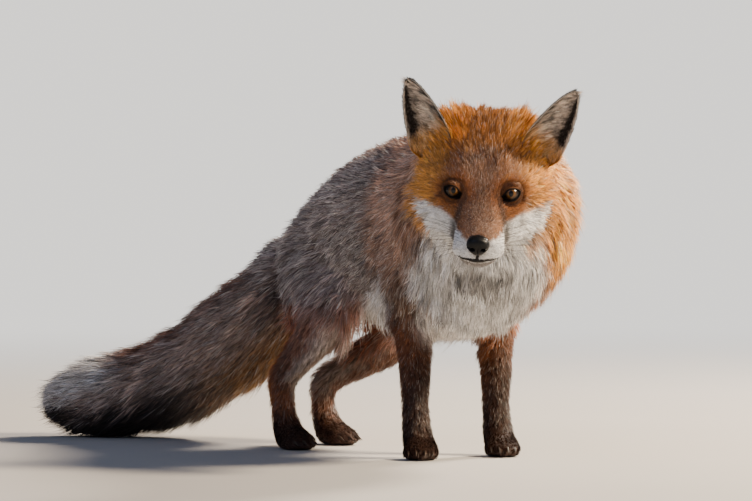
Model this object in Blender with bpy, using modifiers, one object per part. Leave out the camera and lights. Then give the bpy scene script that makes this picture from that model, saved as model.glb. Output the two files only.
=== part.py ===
"""Red fox, life size: a still model in a low, rounded-back stance, with its head turned to its right.

The outline is that of the coat, out to the tips of the fur. The body is made whole from lofted tubes and
ellipsoids that a voxel remesh fuses, and is then parted with thin cuts where a person would name its parts.
Metres, +Z up. The fox faces -Y, its left side is at +X, and the floor is z = 0.
"""

import math

import bmesh
import bpy
import numpy as np
from mathutils import Matrix, Vector

# Driving dimensions
GAP = 0.0005  # width of the cuts between parts
CLEARANCE = 0.0004  # room round an eye, the nose and the claws in the head and paws
VOXEL = 0.0030  # grain of the remesh that fuses the body
BODY_TRIANGLES = 3800
FINE = 2.4  # how much finer the head is than the rest
TUBE_SIDES = 28
STEPS = 5  # rings between two stations of a tube

# Head: the eyes' midpoint, and how far the head is turned to the right, tipped down and leant over
EYE_LINE = (-0.073, -0.177, 0.285)
HEAD_TURN = math.radians(-33)
HEAD_TIP = math.radians(25)
HEAD_LEAN = math.radians(3.5)
EYE_APART = 0.0590
EYE_RADIUS = 0.0102
EAR_LENGTH = 0.094
EAR_HALF_WIDTH = 0.0262
EAR_WALL = 0.0042
EAR_GRID = (8, 8)  # steps across and along an ear
CLAW_LENGTH = 0.0135
CLAW_RADIUS = 0.0017

# Spine, from the rump to the nape: x, y, z of the centre, half width, height above, depth below
SPINE = [
    (0.016, 0.358, 0.212, 0.024, 0.018, 0.030),
    (0.019, 0.338, 0.214, 0.043, 0.036, 0.054),
    (0.022, 0.308, 0.217, 0.060, 0.053, 0.070),
    (0.025, 0.270, 0.223, 0.070, 0.069, 0.080),
    (0.029, 0.216, 0.233, 0.077, 0.086, 0.094),
    (0.031, 0.148, 0.240, 0.084, 0.098, 0.112),
    (0.027, 0.080, 0.243, 0.088, 0.103, 0.120),
    (0.016, 0.012, 0.246, 0.091, 0.104, 0.118),
    (0.003, -0.046, 0.252, 0.093, 0.102, 0.110),
    (-0.017, -0.092, 0.268, 0.092, 0.096, 0.100),
    (-0.040, -0.126, 0.286, 0.074, 0.080, 0.078),
    (-0.052, -0.148, 0.296, 0.045, 0.058, 0.050),
]
# Tail, from its root to its tip: x, y, z of the centre, half width, height above, depth below
TAIL = [
    (0.014, 0.318, 0.222, 0.032, 0.030, 0.036),
    (0.004, 0.346, 0.194, 0.048, 0.044, 0.052),
    (-0.018, 0.371, 0.156, 0.054, 0.050, 0.058),
    (-0.049, 0.400, 0.121, 0.055, 0.050, 0.062),
    (-0.080, 0.433, 0.090, 0.053, 0.048, 0.061),
    (-0.104, 0.460, 0.070, 0.050, 0.046, 0.056),
    (-0.131, 0.487, 0.058, 0.047, 0.044, 0.051),
    (-0.163, 0.515, 0.050, 0.041, 0.038, 0.044),
    (-0.190, 0.537, 0.040, 0.029, 0.029, 0.032),
    (-0.210, 0.552, 0.030, 0.011, 0.012, 0.012),
]
# Legs, from the body down: x, y, z of the centre, half width, depth ahead, depth behind
FORELEG_RIGHT = [
    (-0.034, 0.006, 0.255, 0.040, 0.062, 0.056),
    (-0.038, 0.026, 0.200, 0.036, 0.050, 0.050),
    (-0.035, 0.036, 0.158, 0.026, 0.030, 0.036),
    (-0.035, 0.031, 0.120, 0.0195, 0.021, 0.022),
    (-0.036, 0.027, 0.088, 0.0180, 0.0185, 0.0190),
    (-0.036, 0.027, 0.060, 0.0155, 0.0165, 0.0170),
    (-0.036, 0.024, 0.034, 0.0160, 0.0165, 0.0180),
    (-0.037, 0.018, 0.012, 0.0165, 0.0180, 0.0160),
]
FORELEG_LEFT = [
    (0.070, 0.002, 0.255, 0.038, 0.060, 0.056),
    (0.071, 0.026, 0.200, 0.033, 0.048, 0.050),
    (0.068, 0.036, 0.158, 0.025, 0.030, 0.036),
    (0.067, 0.034, 0.120, 0.0195, 0.021, 0.022),
    (0.066, 0.032, 0.088, 0.0180, 0.0185, 0.0190),
    (0.066, 0.033, 0.060, 0.0155, 0.0165, 0.0170),
    (0.066, 0.030, 0.034, 0.0160, 0.0165, 0.0180),
    (0.065, 0.024, 0.012, 0.0165, 0.0180, 0.0160),
]
HINDLEG_RIGHT = [
    (-0.012, 0.280, 0.240, 0.034, 0.056, 0.056),
    (-0.022, 0.250, 0.200, 0.036, 0.062, 0.062),
    (-0.032, 0.212, 0.162, 0.033, 0.048, 0.052),
    (-0.048, 0.216, 0.128, 0.025, 0.030, 0.034),
    (-0.066, 0.234, 0.096, 0.0185, 0.0200, 0.0230),
    (-0.076, 0.246, 0.076, 0.0165, 0.0170, 0.0210),
    (-0.077, 0.246, 0.054, 0.0145, 0.0155, 0.0150),
    (-0.077, 0.241, 0.032, 0.0150, 0.0160, 0.0150),
    (-0.077, 0.232, 0.012, 0.0165, 0.0190, 0.0160),
]
HINDLEG_LEFT = [
    (0.062, 0.296, 0.240, 0.034, 0.056, 0.056),
    (0.070, 0.272, 0.196, 0.036, 0.058, 0.060),
    (0.076, 0.246, 0.150, 0.033, 0.044, 0.048),
    (0.058, 0.256, 0.112, 0.025, 0.030, 0.034),
    (0.030, 0.280, 0.086, 0.0185, 0.0200, 0.0230),
    (0.006, 0.296, 0.070, 0.0165, 0.0170, 0.0210),
    (0.000, 0.296, 0.052, 0.0145, 0.0155, 0.0150),
    (-0.001, 0.290, 0.032, 0.0150, 0.0160, 0.0150),
    (0.000, 0.281, 0.012, 0.0165, 0.0190, 0.0160),
]
# Paws: x, y of the middle of the pad, and the way the toes point, in degrees left of straight ahead
PAWS = {
    "forepaw_right": (-0.0375, 0.012, -30),
    "forepaw_left": (0.0645, 0.018, -26),
    "hindpaw_right": (-0.0770, 0.224, 4),
    "hindpaw_left": (0.0010, 0.272, 12),
}

# Toes: across, how far ahead of the pad's middle, and half width
TOES = (
    (-0.0128, 0.0125, 0.0078),
    (-0.0046, 0.0195, 0.0080),
    (0.0046, 0.0195, 0.0080),
    (0.0128, 0.0125, 0.0078),
)

# Head, in its own frame: distance ahead of the eyes, height of the section's middle, and how far its outline
# lies from there at 0, 45, 90, 120, 150 and 180 degrees from the top
HEAD_ANGLES = (0, 45, 90, 120, 150, 180)
HEAD = [
    (0.0850, -0.0255, 0.0060, 0.0060, 0.0060, 0.0060, 0.0070, 0.0080),
    (0.0815, -0.0265, 0.0110, 0.0105, 0.0110, 0.0130, 0.0160, 0.0175),
    (0.0740, -0.0275, 0.0140, 0.0145, 0.0175, 0.0200, 0.0215, 0.0225),
    (0.0620, -0.0275, 0.0155, 0.0165, 0.0235, 0.0255, 0.0245, 0.0245),
    (0.0460, -0.0270, 0.0180, 0.0185, 0.0255, 0.0280, 0.0275, 0.0265),
    (0.0300, -0.0260, 0.0215, 0.0225, 0.0275, 0.0310, 0.0320, 0.0310),
    (0.0180, -0.0245, 0.0265, 0.0285, 0.0345, 0.0380, 0.0380, 0.0360),
    (0.0070, -0.0220, 0.0330, 0.0375, 0.0445, 0.0480, 0.0450, 0.0410),
    (-0.0060, -0.0190, 0.0410, 0.0470, 0.0550, 0.0595, 0.0530, 0.0460),
    (-0.0200, -0.0150, 0.0480, 0.0550, 0.0635, 0.0700, 0.0600, 0.0500),
    (-0.0370, -0.0110, 0.0540, 0.0610, 0.0690, 0.0765, 0.0640, 0.0530),
    (-0.0560, -0.0080, 0.0600, 0.0650, 0.0710, 0.0750, 0.0650, 0.0560),
    (-0.0800, -0.0100, 0.0640, 0.0680, 0.0740, 0.0770, 0.0690, 0.0600),
    (-0.1050, -0.0180, 0.0570, 0.0630, 0.0700, 0.0720, 0.0660, 0.0580),
    (-0.1280, -0.0330, 0.0400, 0.0450, 0.0520, 0.0540, 0.0480, 0.0420),
    (-0.1400, -0.0400, 0.0120, 0.0120, 0.0120, 0.0120, 0.0120, 0.0120),
]
HEAD_SIDES = 48
NOSE_AT = (0.0, -0.0835, -0.0195)
NOSE_SIZE = (0.0112, 0.0085, 0.0098)
EAR_BASE = (0.0460, 0.0450, 0.0160)
EAR_LEAN = {-1: math.radians(22.5), 1: math.radians(28)}  # outwards, on its right and its left
EAR_OPENS = math.radians(14)  # how far the ear's opening turns out from straight ahead
MOUTH = [(-0.1000, -0.0372), (-0.0340, -0.0425), (-0.0340, -0.0900)]  # y, z of the cut round the lower jaw

# Cuts that part the body: the middle of each, the way it faces, and its reach up and across in its plane
SLANT = math.sin(math.radians(35))
RISE = math.cos(math.radians(35))
CUTS = [
    ((0.000, -0.055, 0.250), (-0.243, -0.908, 0.342), (0.16, 0.16)),  # neck from chest
    ((0.029, 0.115, 0.240), (0, 1, 0), (0.17, 0.15)),  # chest from loins
    ((-0.008, 0.358, 0.175), (-0.40, 0.50, -0.76), (0.066, 0.066)),  # loins from tail
    ((-0.066, 0.417, 0.106), (-0.53, 0.60, -0.60), (0.075, 0.075)),  # along the tail
    ((-0.147, 0.501, 0.054), (-0.75, 0.64, -0.20), (0.075, 0.060)),
    ((-0.040, 0.034, 0.1425), (SLANT, 0, RISE), (0.048, 0.052)),  # right foreleg
    ((0.072, 0.034, 0.1380), (-SLANT, 0, RISE), (0.052, 0.056)),  # left foreleg
    ((-0.045, 0.214, 0.1475), (SLANT, 0, RISE), (0.050, 0.070)),  # right hind leg
    ((0.068, 0.250, 0.1400), (-SLANT, 0, RISE), (0.062, 0.060)),  # left hind leg
]
HEAD_CUT = (0.055, math.radians(35))  # how far behind the eyes it passes, and how far its foot leans forward
PAW_HEIGHT = 0.030
# A point in the middle of each loose part of the body, to know it by; the head's are in the head's frame
PARTS = {
    "neck": (-0.015, -0.085, 0.265),
    "chest": (0.016, 0.020, 0.240),
    "loins": (0.028, 0.220, 0.225),
    "tail_base": (-0.030, 0.385, 0.145),
    "tail_brush": (-0.105, 0.460, 0.075),
    "tail_tip": (-0.180, 0.530, 0.045),
    "foreleg_right": (-0.036, 0.030, 0.090),
    "foreleg_left": (0.066, 0.033, 0.090),
    "hindleg_right": (-0.055, 0.228, 0.110),
    "hindleg_left": (0.040, 0.268, 0.100),
}
HEAD_PARTS = {
    "head": (0.000, 0.010, 0.000),
    "jaw": (0.000, -0.050, -0.048),
}

# Soft strokes on the head, alike on both sides: x, y, z of the middle, radius, and the shift in x, y and z
STROKES = [
    (0.0295, -0.0080, 0.0000, 0.016, 0.0000, 0.0016, 0.0000),  # eye hollow
    (0.0200, -0.0170, -0.0060, 0.014, -0.0010, 0.0034, -0.0006),  # inner corner of the eye
    (0.0270, -0.0020, 0.0170, 0.016, 0.0000, -0.0016, 0.0020),  # brow
    (0.0360, -0.0060, -0.0180, 0.015, 0.0004, -0.0012, 0.0000),  # cheek bone
    (0.0170, -0.0660, -0.0340, 0.018, 0.0050, -0.0010, 0.0000),  # side of the upper lip
    (0.0290, -0.0300, -0.0300, 0.018, -0.0030, 0.0000, 0.0000),  # where the muzzle meets the cheek
    (0.0000, 0.0000, 0.0220, 0.016, 0.0000, 0.0012, -0.0014),  # furrow of the forehead
]

# Colour and roughness of each part, by how its name begins
COATS = {
    "head": ("b4642a", 0.9),
    "jaw": ("d8d2c8", 0.9),
    "neck": ("b06a34", 0.9),
    "chest": ("8d6344", 0.9),
    "loins": ("7d6453", 0.9),
    "tail_tip": ("8f8a84", 0.9),
    "tail": ("54402f", 0.9),
    "foreleg": ("7a4322", 0.9),
    "hindleg": ("7a4322", 0.9),
    "forepaw": ("1e1a18", 0.9),
    "hindpaw": ("3a2418", 0.9),
    "ear": ("2a2522", 0.9),
    "eye": ("6b3d12", 0.1),
    "nose": ("121114", 0.5),
    "claw": ("2b2622", 0.4),
}


def head_frame():
    """The head's place and turn: x is its left, -y the way it faces, z its top."""
    turn = Matrix.Rotation(HEAD_TURN, 4, "Z")
    tip = Matrix.Rotation(HEAD_TIP, 4, "X")
    lean = Matrix.Rotation(HEAD_LEAN, 4, "Y")
    return Matrix.Translation(EYE_LINE) @ turn @ tip @ lean


def heading(degrees):
    """The level direction that points this far left of straight ahead."""
    return Vector((math.sin(math.radians(degrees)), -math.cos(math.radians(degrees)), 0))


def collection(name):
    made = bpy.data.collections.new(name)
    bpy.context.scene.collection.children.link(made)
    return made


def object_of(mesh_maker, name, group):
    """A new mesh object from what mesh_maker puts in a bmesh."""
    bm = bmesh.new()
    mesh_maker(bm)
    bmesh.ops.recalc_face_normals(bm, faces=bm.faces)
    mesh = bpy.data.meshes.new(name)
    bm.to_mesh(mesh)
    bm.free()
    made = bpy.data.objects.new(name, mesh)
    group.objects.link(made)
    return made


def between(stations, steps=STEPS):
    """The stations with rings between them, on a Catmull-Rom curve through every number."""
    rows = np.array(stations, float)
    rows = np.vstack([2 * rows[0] - rows[1], rows, 2 * rows[-1] - rows[-2]])
    found = []
    for a, b, c, d in zip(rows, rows[1:], rows[2:], rows[3:]):
        for t in np.arange(steps) / steps:
            curve = 2 * b + (c - a) * t + (2 * a - 5 * b + 4 * c - d) * t**2
            found.append(0.5 * (curve + (3 * b - a - 3 * c + d) * t**3))
    return np.vstack([found, rows[-2]])


def tube(name, stations, group, reference=(0, 0, 1), sides=TUBE_SIDES):
    """A closed tube: each station is a centre, a half width, and the reach towards and away from the reference."""
    rows = between(stations)
    tangents = np.gradient(rows[:, :3], axis=0)

    def make(bm):
        rings = []
        for row, tangent in zip(rows, tangents):
            along = Vector(tangent).normalized()
            up = Vector(reference)
            up = (up - up.dot(along) * along).normalized()
            side = along.cross(up)
            half, above, below = row[3:]
            ring = []
            for k in range(sides):
                angle = 2 * math.pi * k / sides
                reach = above if math.sin(angle) > 0 else below
                offset = side * half * math.cos(angle) + up * reach * math.sin(angle)
                ring.append(bm.verts.new(Vector(row[:3]) + offset))
            rings.append(ring)
        for first, second in zip(rings, rings[1:]):
            for k in range(sides):
                bm.faces.new((first[k - 1], first[k], second[k], second[k - 1]))
        bm.faces.new(rings[0])
        bm.faces.new(rings[-1])

    return object_of(make, name, group)


def ellipsoid(name, centre, radii, group, turn=Matrix(), segments=24):
    place = Matrix.Translation(centre) @ turn @ Matrix.Diagonal((*radii, 1))

    def make(bm):
        bmesh.ops.create_uvsphere(bm, u_segments=segments, v_segments=segments // 2, radius=1, matrix=place)

    return object_of(make, name, group)


def head_ring(section):
    """One section of the head: its outline runs smoothly through the reaches at HEAD_ANGLES, alike on both sides."""
    ahead, height, *reach = section
    angles = np.radians(HEAD_ANGLES)
    # Mirrored past the top and the bottom, so that the curve is level there.
    known = np.concatenate([-angles[2:0:-1], angles, 2 * math.pi - angles[-2:-4:-1]])
    values = np.array([*reach[2:0:-1], *reach, *reach[-2:-4:-1]])
    points = []
    for k in range(HEAD_SIDES):
        angle = 2 * math.pi * k / HEAD_SIDES
        folded = min(angle, 2 * math.pi - angle)
        i = int(np.clip(np.searchsorted(known, folded, side="right") - 1, 1, len(known) - 3))
        t = (folded - known[i]) / (known[i + 1] - known[i])
        into = (values[i + 1] - values[i - 1]) / (known[i + 1] - known[i - 1])
        out = (values[i + 2] - values[i]) / (known[i + 2] - known[i])
        span = known[i + 1] - known[i]
        radius = (
            (2 * t**3 - 3 * t**2 + 1) * values[i]
            + (t**3 - 2 * t**2 + t) * span * into
            + (3 * t**2 - 2 * t**3) * values[i + 1]
            + (t**3 - t**2) * span * out
        )
        points.append(Vector((radius * math.sin(angle), -ahead, height + radius * math.cos(angle))))
    return points


def head_shape(group):
    """The head from the back of the nose to the nape, as one loft between its sections."""

    def make(bm):
        rings = [[bm.verts.new(point) for point in head_ring(section)] for section in between(HEAD)]
        for first, second in zip(rings, rings[1:]):
            for k in range(HEAD_SIDES):
                bm.faces.new((first[k - 1], first[k], second[k], second[k - 1]))
        bm.faces.new(rings[0])
        bm.faces.new(rings[-1])
        bm.transform(head_frame())

    return object_of(make, "head", group)


def paw_shapes(name, x, y, degrees, group):
    """A paw's pad and its four toes, which reach a little below the floor so that a level cut makes flats."""
    ahead = heading(degrees)
    side = Vector((-ahead.y, ahead.x, 0))
    turn = Matrix.Rotation(math.radians(degrees), 4, "Z")
    middle = Vector((x, y, 0))
    shapes = [
        ellipsoid(name, middle + Vector((0, 0, 0.012)), (0.0185, 0.024, 0.0145), group, turn),
    ]
    for across, reach, wide in TOES:
        toe = middle + side * across + ahead * reach + Vector((0, 0, 0.0085))
        shapes.append(ellipsoid(name + "_toe", toe, (wide, 0.0145, 0.0100), group, turn))
    return shapes


def body_shapes(group):
    """Every rough form of the body, overlapping its neighbours."""
    shapes = [
        tube("spine", SPINE, group),
        tube("tail", TAIL, group),
        tube("foreleg_right", FORELEG_RIGHT, group, heading(-20)),
        tube("foreleg_left", FORELEG_LEFT, group, heading(-12)),
        tube("hindleg_right", HINDLEG_RIGHT, group, heading(10)),
        tube("hindleg_left", HINDLEG_LEFT, group, heading(30)),
    ]
    for name, (x, y, degrees) in PAWS.items():
        shapes += paw_shapes(name, x, y, degrees, group)
    shapes.append(ellipsoid("breast", (-0.010, -0.060, 0.214), (0.080, 0.062, 0.076), group,
                            Matrix.Rotation(math.radians(-20), 4, "Z")))
    return shapes + [head_shape(group)]


def evaluated_copy(source, name, group):
    """The object with its modifiers applied, as a plain mesh object."""
    graph = bpy.context.evaluated_depsgraph_get()
    graph.update()
    mesh = bpy.data.meshes.new_from_object(source.evaluated_get(graph))
    made = bpy.data.objects.new(name, mesh)
    group.objects.link(made)
    return made


def fuse(shapes, group):
    """One smooth skin round all the shapes."""
    with bpy.context.temp_override(active_object=shapes[0], selected_editable_objects=shapes):
        bpy.ops.object.join()
    rough = shapes[0]
    remesh = rough.modifiers.new("fuse", "REMESH")
    remesh.mode = "VOXEL"
    remesh.voxel_size = VOXEL
    smooth = rough.modifiers.new("settle", "SMOOTH")
    smooth.factor = 0.5
    smooth.iterations = 9
    fused = evaluated_copy(rough, "fused", group)
    bpy.data.objects.remove(rough)
    return fused


def in_head(points, inverse=False):
    """Points, as an array, from the head's frame to the world's, or the other way."""
    frame = np.array(head_frame().inverted() if inverse else head_frame())
    return points @ frame[:3, :3].T + frame[:3, 3]


def sculpt(body):
    """Draw the strokes on the head of the fused body."""
    points = np.empty(len(body.data.vertices) * 3)
    body.data.vertices.foreach_get("co", points)
    local = in_head(points.reshape(-1, 3), inverse=True)
    for x, y, z, radius, *shift in STROKES:
        for side in (1, -1) if x else (1,):
            away = np.linalg.norm(local - (side * x, y, z), axis=1) / radius
            local += (np.clip(1 - away**2, 0, 1) ** 2)[:, None] * np.array(shift) * (side, 1, 1)
    body.data.vertices.foreach_set("co", in_head(local).ravel())


def thin_out(body, group):
    """The body in about BODY_TRIANGLES triangles, finest on the head."""
    points = np.empty(len(body.data.vertices) * 3)
    body.data.vertices.foreach_get("co", points)
    points = points.reshape(-1, 3)
    head = np.linalg.norm(in_head(points, inverse=True) - (0, -0.01, -0.01), axis=1) < 0.075
    weights = body.vertex_groups.new(name="weights")
    for where, weight in ((~head, 1.0), (head, 0.03)):
        weights.add(np.flatnonzero(where).tolist(), weight, "REPLACE")
    body.modifiers.new("triangles", "TRIANGULATE")
    for name, ratio in (("even", FINE * BODY_TRIANGLES / (2 * len(points))), ("reduce", 1 / FINE)):
        reduce = body.modifiers.new(name, "DECIMATE")
        reduce.ratio = ratio
    reduce.vertex_group = "weights"
    reduce.vertex_group_factor = 1.0
    thinned = evaluated_copy(body, "thinned", group)
    bpy.data.objects.remove(body)
    return thinned


def boolean(target, cutter, group):
    """The target with a cutter taken away, as a new object that replaces it."""
    cut = target.modifiers.new("cut", "BOOLEAN")
    cut.object = cutter
    cut.operation = "DIFFERENCE"
    cut.solver = "EXACT"
    name = target.name
    made = evaluated_copy(target, name + "_cut", group)
    bpy.data.objects.remove(target)
    made.name = name
    return made


def slab(name, at, normal, group, reach, upright=(0, 0, 1)):
    """A cutter GAP thick, centred at a point: it reaches this far along, and across, the upright's way in its plane."""
    normal = Vector(normal).normalized()
    up = Vector(upright)
    up = (up - up.dot(normal) * normal).normalized()
    across = normal.cross(up)
    axes = Matrix((across * reach[1], up * reach[0], normal * GAP / 2)).transposed().to_4x4()

    def make(bm):
        bmesh.ops.create_cube(bm, size=2, matrix=Matrix.Translation(at) @ axes)

    return object_of(make, name, group)


def jaw_cutter(group):
    """A bent slab that runs back along the mouth and then down behind the chin."""
    path = [Vector((y, z)) for y, z in MOUTH]

    def make(bm):
        outline = [Vector((p.x, p.y + GAP / 2)) for p in path[:1]]
        outline += [path[1] + Vector((GAP / 2, GAP / 2)), path[2] + Vector((GAP / 2, 0))]
        outline += [path[2] - Vector((GAP / 2, 0)), path[1] - Vector((GAP / 2, GAP / 2))]
        outline += [Vector((path[0].x, path[0].y - GAP / 2))]
        sides = [[bm.verts.new((x, p.x, p.y)) for p in outline] for x in (-0.055, 0.055)]
        for side in sides:
            bm.faces.new(side)
        for k in range(len(outline)):
            bm.faces.new((sides[0][k - 1], sides[0][k], sides[1][k], sides[1][k - 1]))
        bm.transform(head_frame())

    return object_of(make, "jaw_cut", group)


def grown(source, by, group):
    """A copy of a solid, swollen by a little."""
    swell = source.modifiers.new("swell", "DISPLACE")
    swell.strength = by
    swell.mid_level = 0
    made = evaluated_copy(source, source.name + "_grown", group)
    source.modifiers.remove(swell)
    return made


def eye(name, side, radius, group):
    at = head_frame() @ Vector((side * EYE_APART / 2, 0, 0))
    turn = head_frame().to_3x3().to_4x4() @ Matrix.Rotation(math.radians(90), 4, "X")
    return ellipsoid(name, at, (radius,) * 3, group, turn, segments=16)


def nose(name, extra, group):
    """The nose pad: an ellipsoid that narrows downwards, with a hollow for each nostril."""
    made = ellipsoid(name, (0, 0, 0), [size + extra for size in NOSE_SIZE], group, segments=16)
    for vertex in made.data.vertices:
        low = max(0.0, -vertex.co.z / NOSE_SIZE[2])
        vertex.co.x *= 1 - 0.30 * low**2
        for side in (1, -1) if not extra else ():
            away = (vertex.co - Vector((side * 0.0062, -0.0062, -0.0008))).length / 0.0042
            vertex.co.y += 0.0018 * max(0.0, 1 - away**2) ** 2
    made.data.transform(head_frame() @ Matrix.Translation(NOSE_AT))
    return made


def ear(name, side, group):
    """A pointed, cupped ear: its wall bends round an upright axis, more at the base than at the tip."""
    across, along = EAR_GRID
    place = Matrix.Translation((side * EAR_BASE[0], EAR_BASE[1], EAR_BASE[2]))
    place = head_frame() @ place @ Matrix.Rotation(side * EAR_LEAN[side], 4, "Y") @ Matrix.Rotation(side * EAR_OPENS, 4, "Z")

    def make(bm):
        grid = []
        for j in range(along + 1):
            v = j / along * 0.985
            half = EAR_HALF_WIDTH * (1 - v**1.5) ** 0.75
            bend = math.radians(78 - 40 * v)
            radius = half / math.sin(bend)
            row = []
            for i in range(across + 1):
                angle = bend * (2 * i / across - 1)
                ahead = radius * (math.cos(bend) - math.cos(angle))
                row.append(bm.verts.new((radius * math.sin(angle), -ahead - 0.010 * (1 - v), v * EAR_LENGTH)))
            grid.append(row)
        for low, high in zip(grid, grid[1:]):
            for k in range(across):
                bm.faces.new((low[k], low[k + 1], high[k + 1], high[k]))
        bm.transform(place)

    sheet = object_of(make, name, group)
    wall = sheet.modifiers.new("wall", "SOLIDIFY")
    wall.thickness = EAR_WALL
    wall.offset = 0
    made = evaluated_copy(sheet, name + "_solid", group)
    bpy.data.objects.remove(sheet)
    made.name = name
    return made


def claw(name, root, ahead, group):
    """A curved, tapered claw that starts inside its toe."""

    def make(bm):
        side = Vector((-ahead.y, ahead.x, 0))
        rings = []
        for t, size in ((0.0, 0.8), (0.35, 1.0), (0.72, 0.68)):
            middle = root + ahead * (CLAW_LENGTH * t) - Vector((0, 0, 0.0050 * t**2))
            ring = []
            for k in range(5):
                angle = 2 * math.pi * k / 5
                offset = side * (0.8 * math.cos(angle)) + Vector((0, 0, math.sin(angle)))
                ring.append(bm.verts.new(middle + offset * (CLAW_RADIUS * size)))
            rings.append(ring)
        tip = bm.verts.new(root + ahead * CLAW_LENGTH - Vector((0, 0, 0.0050)))
        for first, second in zip(rings, rings[1:]):
            for k in range(5):
                bm.faces.new((first[k - 1], first[k], second[k], second[k - 1]))
        bm.faces.new(rings[0])
        for k in range(5):
            bm.faces.new((rings[-1][k - 1], rings[-1][k], tip))

    return object_of(make, name, group)


def claws(paw, group):
    """The four claws of a paw."""
    x, y, degrees = PAWS[paw]
    ahead = heading(degrees)
    side = Vector((-ahead.y, ahead.x, 0))
    made = []
    for number, (across, reach, _wide) in enumerate(TOES, 1):
        root = Vector((x, y, 0.0098)) + side * across + ahead * (reach + 0.0065)
        made.append(claw(f"claw_{paw}_{number}", root, ahead, group))
    return made


def take_away(target, cutters, by, group):
    """The target with room for some solids, a little larger than they are."""
    for solid in cutters:
        swollen = grown(solid, by, group)
        target = boolean(target, swollen, group)
        bpy.data.objects.remove(swollen)
    return target


def loose_parts(body, group):
    """The body's islands as objects, each named after the point in PARTS or HEAD_PARTS that it lies round."""
    known = {name: Vector(at) for name, at in PARTS.items()}
    known.update({name: head_frame() @ Vector(at) for name, at in HEAD_PARTS.items()})
    known.update({name: Vector((x, y + 0.004, 0.014)) for name, (x, y, _) in PAWS.items()})
    bm = bmesh.new()
    bm.from_mesh(body.data)
    made = {}
    waiting = set(bm.verts)
    while waiting:
        island = {next(iter(waiting))}
        edge = list(island)
        while edge:
            for link in edge.pop().link_edges:
                for vertex in link.verts:
                    if vertex not in island:
                        island.add(vertex)
                        edge.append(vertex)
        waiting -= island
        centre = sum((vertex.co for vertex in island), Vector()) / len(island)
        name = min(known, key=lambda key: (known[key] - centre).length)
        if name in made:
            raise RuntimeError(f"two loose parts lie at {name}: {len(island)} points round {tuple(centre)}")
        mesh = body.data.copy()
        part = bmesh.new()
        part.from_mesh(mesh)
        part.verts.ensure_lookup_table()
        keep = {vertex.index for vertex in island}
        bmesh.ops.delete(part, geom=[v for v in part.verts if v.index not in keep], context="VERTS")
        part.to_mesh(mesh)
        part.free()
        made[name] = bpy.data.objects.new(name, mesh)
        group.objects.link(made[name])
    bm.free()
    if set(made) != set(known):
        raise RuntimeError(f"not parted from the rest: {sorted(set(known) - set(made))}")
    bpy.data.objects.remove(body)
    return made


def paint(part, colour, roughness):
    material = bpy.data.materials.new(part.name)
    material.use_nodes = True
    shader = material.node_tree.nodes["Principled BSDF"]
    linear = [int(colour[i : i + 2], 16) / 255 for i in (0, 2, 4)]
    shader.inputs["Base Color"].default_value = (*(c**2.2 for c in linear), 1)
    shader.inputs["Roughness"].default_value = roughness
    part.data.materials.clear()
    part.data.materials.append(material)


def main():
    for old in list(bpy.data.objects):
        bpy.data.objects.remove(old)
    work = collection("work")
    body = fuse(body_shapes(work), work)
    sculpt(body)
    body = thin_out(body, work)

    # The floor's level cut, which makes the flats of the soles
    floor = ellipsoid("floor", (0, 0, 0), (1, 1, 1), work)
    bm = bmesh.new()
    bmesh.ops.create_cube(bm, size=1, matrix=Matrix.Translation((0, 0.1, -0.05)) @ Matrix.Diagonal((1, 1.2, 0.1, 1)))
    bm.to_mesh(floor.data)
    bm.free()
    body = boolean(body, floor, work)

    # The cuts between the parts
    frame = head_frame()
    behind, lean = HEAD_CUT
    cutters = [slab("cut", at, normal, work, reach) for at, normal, reach in CUTS]
    facing = frame.to_3x3() @ Vector((0, math.cos(lean), -math.sin(lean)))
    cutters.append(slab("head_cut", frame @ Vector((0, behind, 0)), facing, work, (0.16, 0.14)))
    cutters.append(jaw_cutter(work))
    for x, y, _ in PAWS.values():
        cutters.append(slab("paw_cut", (x, y + 0.012, PAW_HEIGHT), (0, 0, 1), work, (0.036, 0.034), (0, 1, 0)))
    for cutter in cutters:
        body = boolean(body, cutter, work)
    parts = loose_parts(body, work)

    # Eyes, nose, ears and claws, each in its own room
    eyes = [eye(name, side, EYE_RADIUS, work) for name, side in (("eye_right", -1), ("eye_left", 1))]
    pad = nose("nose", 0, work)
    sockets = [eye("socket", side, EYE_RADIUS + CLEARANCE, work) for side in (-1, 1)]
    sockets.append(nose("nose_room", CLEARANCE, work))
    for socket in sockets:
        parts["head"] = boolean(parts["head"], socket, work)
    whole = grown(parts["head"], CLEARANCE, work)
    for name, side in (("ear_right", -1), ("ear_left", 1)):
        parts[name] = boolean(ear(name, side, work), whole, work)
    for solid in (*eyes, pad):
        parts[solid.name] = solid
    for paw in PAWS:
        made = claws(paw, work)
        parts[paw] = take_away(parts[paw], made, CLEARANCE, work)
        parts.update({one.name: one for one in made})

    # The middle of the outline's box goes to the origin
    fox = collection("red fox")
    corners = np.array([part.bound_box[:] for part in parts.values()]).reshape(-1, 3)
    low, high = corners.min(axis=0), corners.max(axis=0)
    shift = Matrix.Translation((-(low[0] + high[0]) / 2, -(low[1] + high[1]) / 2, 0))
    for name, part in parts.items():
        part.name = name
        part.data.name = name
        part.data.transform(shift)
        fox.objects.link(part)
        colour, roughness = next(look for key, look in COATS.items() if name.startswith(key))
        paint(part, colour, roughness)
    for old in list(bpy.data.objects):
        if old.name not in fox.objects:
            bpy.data.objects.remove(old)
    bpy.data.collections.remove(work)


main()
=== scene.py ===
"""Looks of a life-size museum model of a red fox in its winter coat.

One skin lies inside the fox's outline by the depth of its coat. Tufts of fur, as solid slivers of mesh, grow
from it along the lie of the coat, up to the outline. Eyes, lids, nose, lips, ears, claws and whiskers are
pieces of their own. Metres, +Z up. The fox faces -Y, its left side is at +X, and the floor is z = 0.
"""

import math
from collections import namedtuple

import bmesh
import bpy
import numpy as np
from mathutils import Matrix, Vector
from mathutils.bvhtree import BVHTree
from mathutils.kdtree import KDTree


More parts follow.
